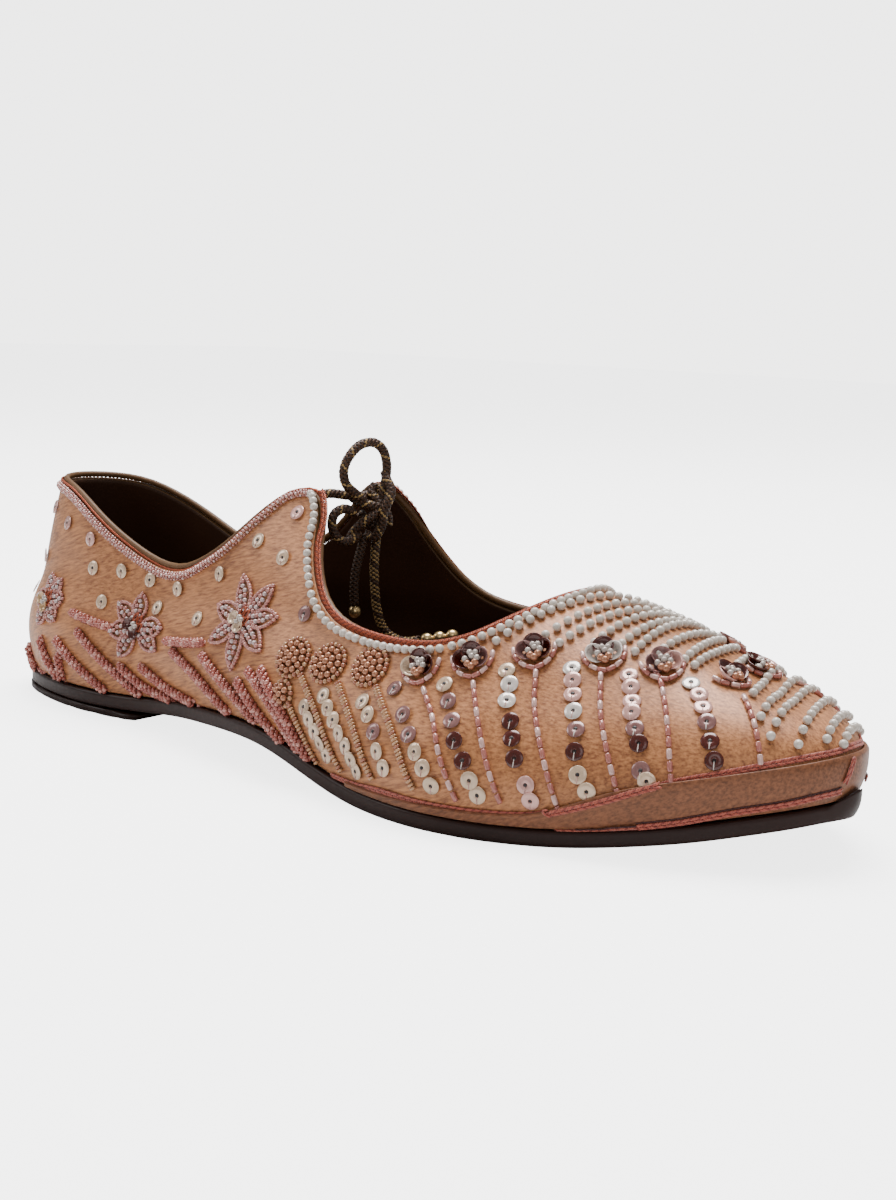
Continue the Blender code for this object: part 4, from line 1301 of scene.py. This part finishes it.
# %% Pearl clusters and their stems
RING_PITCH = 1.62              # mm from one ring of pearls to the next
RING_TURN = 0.4                # radians that each ring is turned on
CLUSTERS = [(294, 658, 3), (329, 664, 3), (371, 668, 3), (284, 694, 2)]
CLUSTER_STEMS = [[(302, 676), (318, 715), (342, 770)], [(339, 684), (355, 730), (373, 778)],
                 [(377, 688), (394, 735), (414, 788)], [(291, 706), (304, 735), (318, 762)]]
GOLD_SEED = colour_of(212, 168, 130)
ROSE_SEED = colour_of(190, 130, 104)
STEM_SEED, SEED_PITCH = (0.95 * MM, 0.44 * MM, 0.6 * MM), 0.85 * MM
CLUSTER_PEARL, EDGE_BEAD, BEAD_LIFT = 0.82 * MM, 0.62 * MM, 0.5 * MM
CROWN, CROWN_DROP = 1.35, 0.25         # mm: the middle pearl's lift, and how much each ring is lower
EDGE_IN, EDGE_STEP = 0.25, 1.15        # mm: the bead edge sits so far in, with beads this far apart
cluster_seeds = []
for x, y, rings in CLUSTERS:
    base = frame_at(x, y)
    for ring in range(rings):
        around = 6 * ring or 1
        for k in range(around):
            turn = math.tau * k / around + ring * RING_TURN
            reach = RING_PITCH * ring
            place, normal = on_frame(base, reach * math.cos(turn), reach * math.sin(turn))
            lift = (CROWN - CROWN_DROP * ring) * MM
            gold_bits.append(Bit("pearl", place, base[1], normal, CLUSTER_PEARL, GOLD_PINK, lift))
    edge = RING_PITCH * rings - EDGE_IN
    beads_round = int(math.tau * edge / EDGE_STEP)
    for k in range(beads_round):
        turn = math.tau * k / beads_round
        place, normal = on_frame(base, edge * math.cos(turn), edge * math.sin(turn))
        tint = GOLD_SEED if k % 2 else ROSE_SEED
        cluster_seeds.append(Bit("seed", place, base[1], normal, EDGE_BEAD, tint, BEAD_LIFT))
for corners in CLUSTER_STEMS:
    for k, (place, run, out) in enumerate(line_on_cloth(corners, SEED_PITCH)):
        tint = ROSE_SEED if k % 4 == 0 else GOLD_SEED
        cluster_seeds.append(Bit("seed", place, out.cross(run), out, STEM_SEED, tint, BEAD_LIFT))
set_bits("gold_pearls", gold_bits + other_side(gold_bits), GOLD_PEARL)
set_bits("cluster_seeds", cluster_seeds + other_side(cluster_seeds), GLASS_BEAD)

# %% [markdown]
# On the quarter three flowers have petals outlined in pink seed beads and filled with larger silvery
# ones. A petal could be a stamped shape, but here it is sewn as on the real shoe: a row of beads up
# each side of a leaf and two rows down its middle. A petal's tip comes from the photo, and its
# longest length keeps petals that turn away from the camera from growing.

# %% Petals
# Each flower: its middle, its petals' tips, the cups in its heart and its longest petal in mm
FLOWERS = [
    ((50, 601), [(55, 566), (75, 557), (80, 598), (59, 629), (39, 627), (33, 588)], "gg", 7.5),
    ((138, 627), [(144, 594), (118, 600), (167, 629), (106, 632), (119, 661), (165, 661)], "bb", 10.0),
    ((244, 622), [(246, 563), (279, 581), (287, 617), (273, 669), (232, 676), (206, 646), (204, 594)],
     "cc", 12.0),
]
PEARLY = colour_of(222, 202, 200)
# A paler pink that is a painted highlight. On the bead ropes it makes slanted streaks of glint, and on the
# petals' edges it goes on every third bead.
ROPE_HIGHLIGHT = colour_of(230, 172, 160)
PETAL_WIDE, NARROW = 2.4, 0.35         # mm: half of a petal's width, and where its two rows meet
PETAL_START, FILL_START = 1.6, 2.7     # mm from the flower's middle
FILL_END = 3.2                         # mm by which the filling is shorter than the petal
EDGE_PITCH, FILL_PITCH = 0.9, 1.3      # mm
FILL_ASIDE, PAIRED = 0.72, 0.7         # mm, and the share of the filling that has two rows
EDGE_SEED, EDGE_LIFT = (0.62 * MM, 0.5 * MM, 0.52 * MM), 0.55 * MM
FILL_SEED, FILL_LIFT = 0.62 * MM, 0.9 * MM
LEAST_BEADS = 7


def petal(middle, tip, longest):
    """Seed beads round a leaf shape and larger beads down its middle."""
    base = frame_at(*middle, towards=tip)
    long = min((drop(*tip)[0] - base[0]).length / MM, longest)
    made_bits, count_round = [], max(LEAST_BEADS, int(long / EDGE_PITCH))
    for k in range(count_round + 1):
        share = k / count_round
        along = PETAL_START + (long - PETAL_START) * share
        wide = PETAL_WIDE * math.sin(math.pi * min(share * 0.93 + 0.07, 1)) ** 0.8
        for side in ((-1, 1) if wide > NARROW else (0,)):
            place, normal = on_frame(base, wide * side, along)
            # Every third edge bead is paler, a painted highlight.
            tint = ROPE_HIGHLIGHT if k % 3 == 0 else PINK_BEAD
            made_bits.append(Bit("seed", place, base[1], normal, EDGE_SEED, tint, EDGE_LIFT))
    fill_rows = (long - FILL_END) / FILL_PITCH
    for k in range(int(fill_rows) + 1):
        for across in (-FILL_ASIDE, FILL_ASIDE) if k < fill_rows * PAIRED else (0,):
            place, normal = on_frame(base, across, FILL_START + FILL_PITCH * k)
            tint = PEARLY if (k + (across > 0)) % 2 else PINK_BEAD
            made_bits.append(Bit("seed", place, base[1], normal, FILL_SEED, tint, FILL_LIFT))
    return made_bits


print("petals:", sum(len(tips) for _, tips, _, _ in FLOWERS), "on each side")

# %% Beaded flowers
# What is in a flower's heart, in mm across and along from its middle
HEART_SPOTS = ((-1.9, 0.6), (0.4, -1.9))
LOOP_SPOTS = ((0.4, 2.2), (1.9, 1.2), (2.0, -0.7))
HEART_SEEDS = ((0.2, 0.5), (1.0, -0.3), (-0.4, -0.6))
COPPER_LOOP, LOOP_LIFT = (1.15 * MM, 0.62 * MM, 0.8 * MM), 1.4 * MM
LOOP_ALONG, LOOP_ACROSS = 0.7, 0.6
HEART_CUP, HEART_CUP_LIFT = 1.7 * MM, 1.5 * MM
HEART_SEED, HEART_SEED_LIFT = 0.7 * MM, 1.9 * MM
flower_bits, heart_bits, ring_bits = [], [], []
for middle, tips, hearts, longest in FLOWERS:
    for tip in tips:
        flower_bits += petal(middle, tip, longest)
    base = frame_at(*middle)
    for (across, along), shade in zip(HEART_SPOTS, hearts):
        place, normal = on_frame(base, across, along)
        heart_bits.append(Bit("cup", place, base[1], normal, HEART_CUP, SHADES[shade], HEART_CUP_LIFT))
    for across, along in LOOP_SPOTS:
        place, normal = on_frame(base, across, along)
        run = base[1] * LOOP_ALONG + base[2] * LOOP_ACROSS
        ring_bits.append(Bit("ring", place, run, normal, COPPER_LOOP, COPPER_TINT, LOOP_LIFT))
    for across, along in HEART_SEEDS:
        place, normal = on_frame(base, across, along)
        flower_bits.append(Bit("seed", place, base[1], normal, HEART_SEED, SILVER, HEART_SEED_LIFT))

set_bits("flower_seeds", flower_bits + other_side(flower_bits), GLASS_BEAD)
set_bits("flower_hearts", heart_bits + other_side(heart_bits), SEQUIN)
set_bits("flower_loops", ring_bits + other_side(ring_bits), COPPER)

# %% [markdown]
# Ropes of small beads run down from the flowers to the sole, and a rope links each flower to the
# next. A rope is three strings of beads twisted together, so the strands of the tie are used again:
# each strand's points become beads.

# %% Ropes of beads
ROPES = [[(30, 644), (35, 661), (43, 677)], [(42, 637), (50, 660), (58, 681)], [(60, 652), (68, 684)],
         [(57, 638), (78, 664), (108, 691)], [(78, 630), (106, 662), (140, 697)],
         [(120, 664), (146, 686), (179, 704)], [(141, 665), (170, 688), (206, 708)],
         [(173, 650), (202, 680), (232, 713)], [(203, 654), (230, 688), (259, 722)],
         [(238, 679), (260, 712), (288, 747)], [(249, 669), (274, 705), (303, 752)],
         [(262, 668), (284, 712), (312, 760)], [(72, 612), (95, 622), (114, 628)],
         [(166, 641), (186, 643), (206, 643)]]
ROPE_PINK = colour_of(196, 122, 110)
ROPE_BEAD = 0.66 * MM
ROPE_STEP, ROPE_RADIUS, ROPE_TURN, ROPE_LIFT = 0.62 * MM, 0.72 * MM, 4.6 * MM, 0.75 * MM
rope_seeds = []
for corners in ROPES:
    line = line_on_cloth(corners, ROPE_STEP)
    strands = twist(line, 3, ROPE_RADIUS, ROPE_TURN, lift=ROPE_LIFT)
    for s, strand in enumerate(strands):
        for k in range(len(strand) - 1):
            run = strand[k + 1] - strand[k]
            # Every fourth bead of a strand, shifted by strand, is paler: slanted lines of painted highlight.
            tint = ROPE_HIGHLIGHT if (k + s) % 4 == 0 else ROPE_PINK
            out = line[k][2]
            out = (out - run.normalized() * out.dot(run.normalized())).normalized()
            rope_seeds.append(Bit("stitch", strand[k], run.normalized(), out, ROPE_BEAD, tint, 0.0))
set_bits("bead_ropes", rope_seeds + other_side(rope_seeds), GLASS_BEAD)

# %% [markdown]
# The strip of satin round the toe is sewn on with a salmon chain stitch along its top edge, and a
# second one runs along its foot over a dark red line. A short seam closes the strip at the toe. A
# chain stitch is two columns of short slanted stitches that lean towards each other. A tube with a
# bump would be quicker, but it would have no gaps.

# %% Chain stitch on the toe strip
SALMON = colour_of(206, 118, 98)
DEEP_SALMON = colour_of(170, 84, 68)
DARK_RED = colour_of(96, 34, 28)
STRIP_TOP = [(330, 777), (356, 784), (380, 790), (413, 800), (446, 807), (483, 812), (529, 814), (562, 811),
             (601, 802), (640, 791), (680, 781), (731, 772), (784, 762), (832, 753), (853, 746)]
STRIP_FOOT = [(559, 830), (616, 831), (673, 823), (736, 812), (808, 799), (839, 791)]
TOE_SEAM = [(853, 759), (850, 769), (845, 781)]
CHAIN_PITCH, CHAIN_WIDE, CHAIN_LIFT = 0.62 * MM, 0.34 * MM, 0.34 * MM
CHAIN_STITCH, CHAIN_LEAN = (0.68 * MM, 0.27 * MM, 0.27 * MM), 0.5
RED_PITCH, RED_ABOVE, RED_LIFT = 0.9 * MM, 0.85 * MM, 0.1 * MM
RED_STITCH = (0.6 * MM, 0.16 * MM, 0.16 * MM)


def chain_stitch(corners, surface):
    """Two leaning columns of stitches along a line on the satin or the strip."""
    made_bits = []
    for k, (place, run, out) in enumerate(line_on_cloth(corners, CHAIN_PITCH, surface)):
        for side in (-1, 1):
            lean = (run + out.cross(run) * side * CHAIN_LEAN).normalized()
            tint = DEEP_SALMON if (k + (side > 0)) % 3 == 0 else SALMON
            made_bits.append(Bit("stitch", place + out.cross(run) * side * CHAIN_WIDE, lean, out,
                                 CHAIN_STITCH, tint, CHAIN_LIFT))
    return made_bits


top_bits = chain_stitch(STRIP_TOP, SKIN_AND_STRIP)
foot_bits = chain_stitch(STRIP_FOOT, STRIP)
for place, run, out in line_on_cloth(STRIP_FOOT, RED_PITCH, STRIP):
    above = out.cross(run) if out.cross(run).z > 0 else run.cross(out)
    foot_bits.append(Bit("stitch", place + above * RED_ABOVE, run, out, RED_STITCH, DARK_RED, RED_LIFT))
mirrored_bits = other_side(top_bits, SKIN_AND_STRIP) + other_side(foot_bits, STRIP)
seam_bits = chain_stitch(TOE_SEAM, STRIP)
set_bits("strip_chain_stitch", top_bits + foot_bits + mirrored_bits + seam_bits, THREAD)
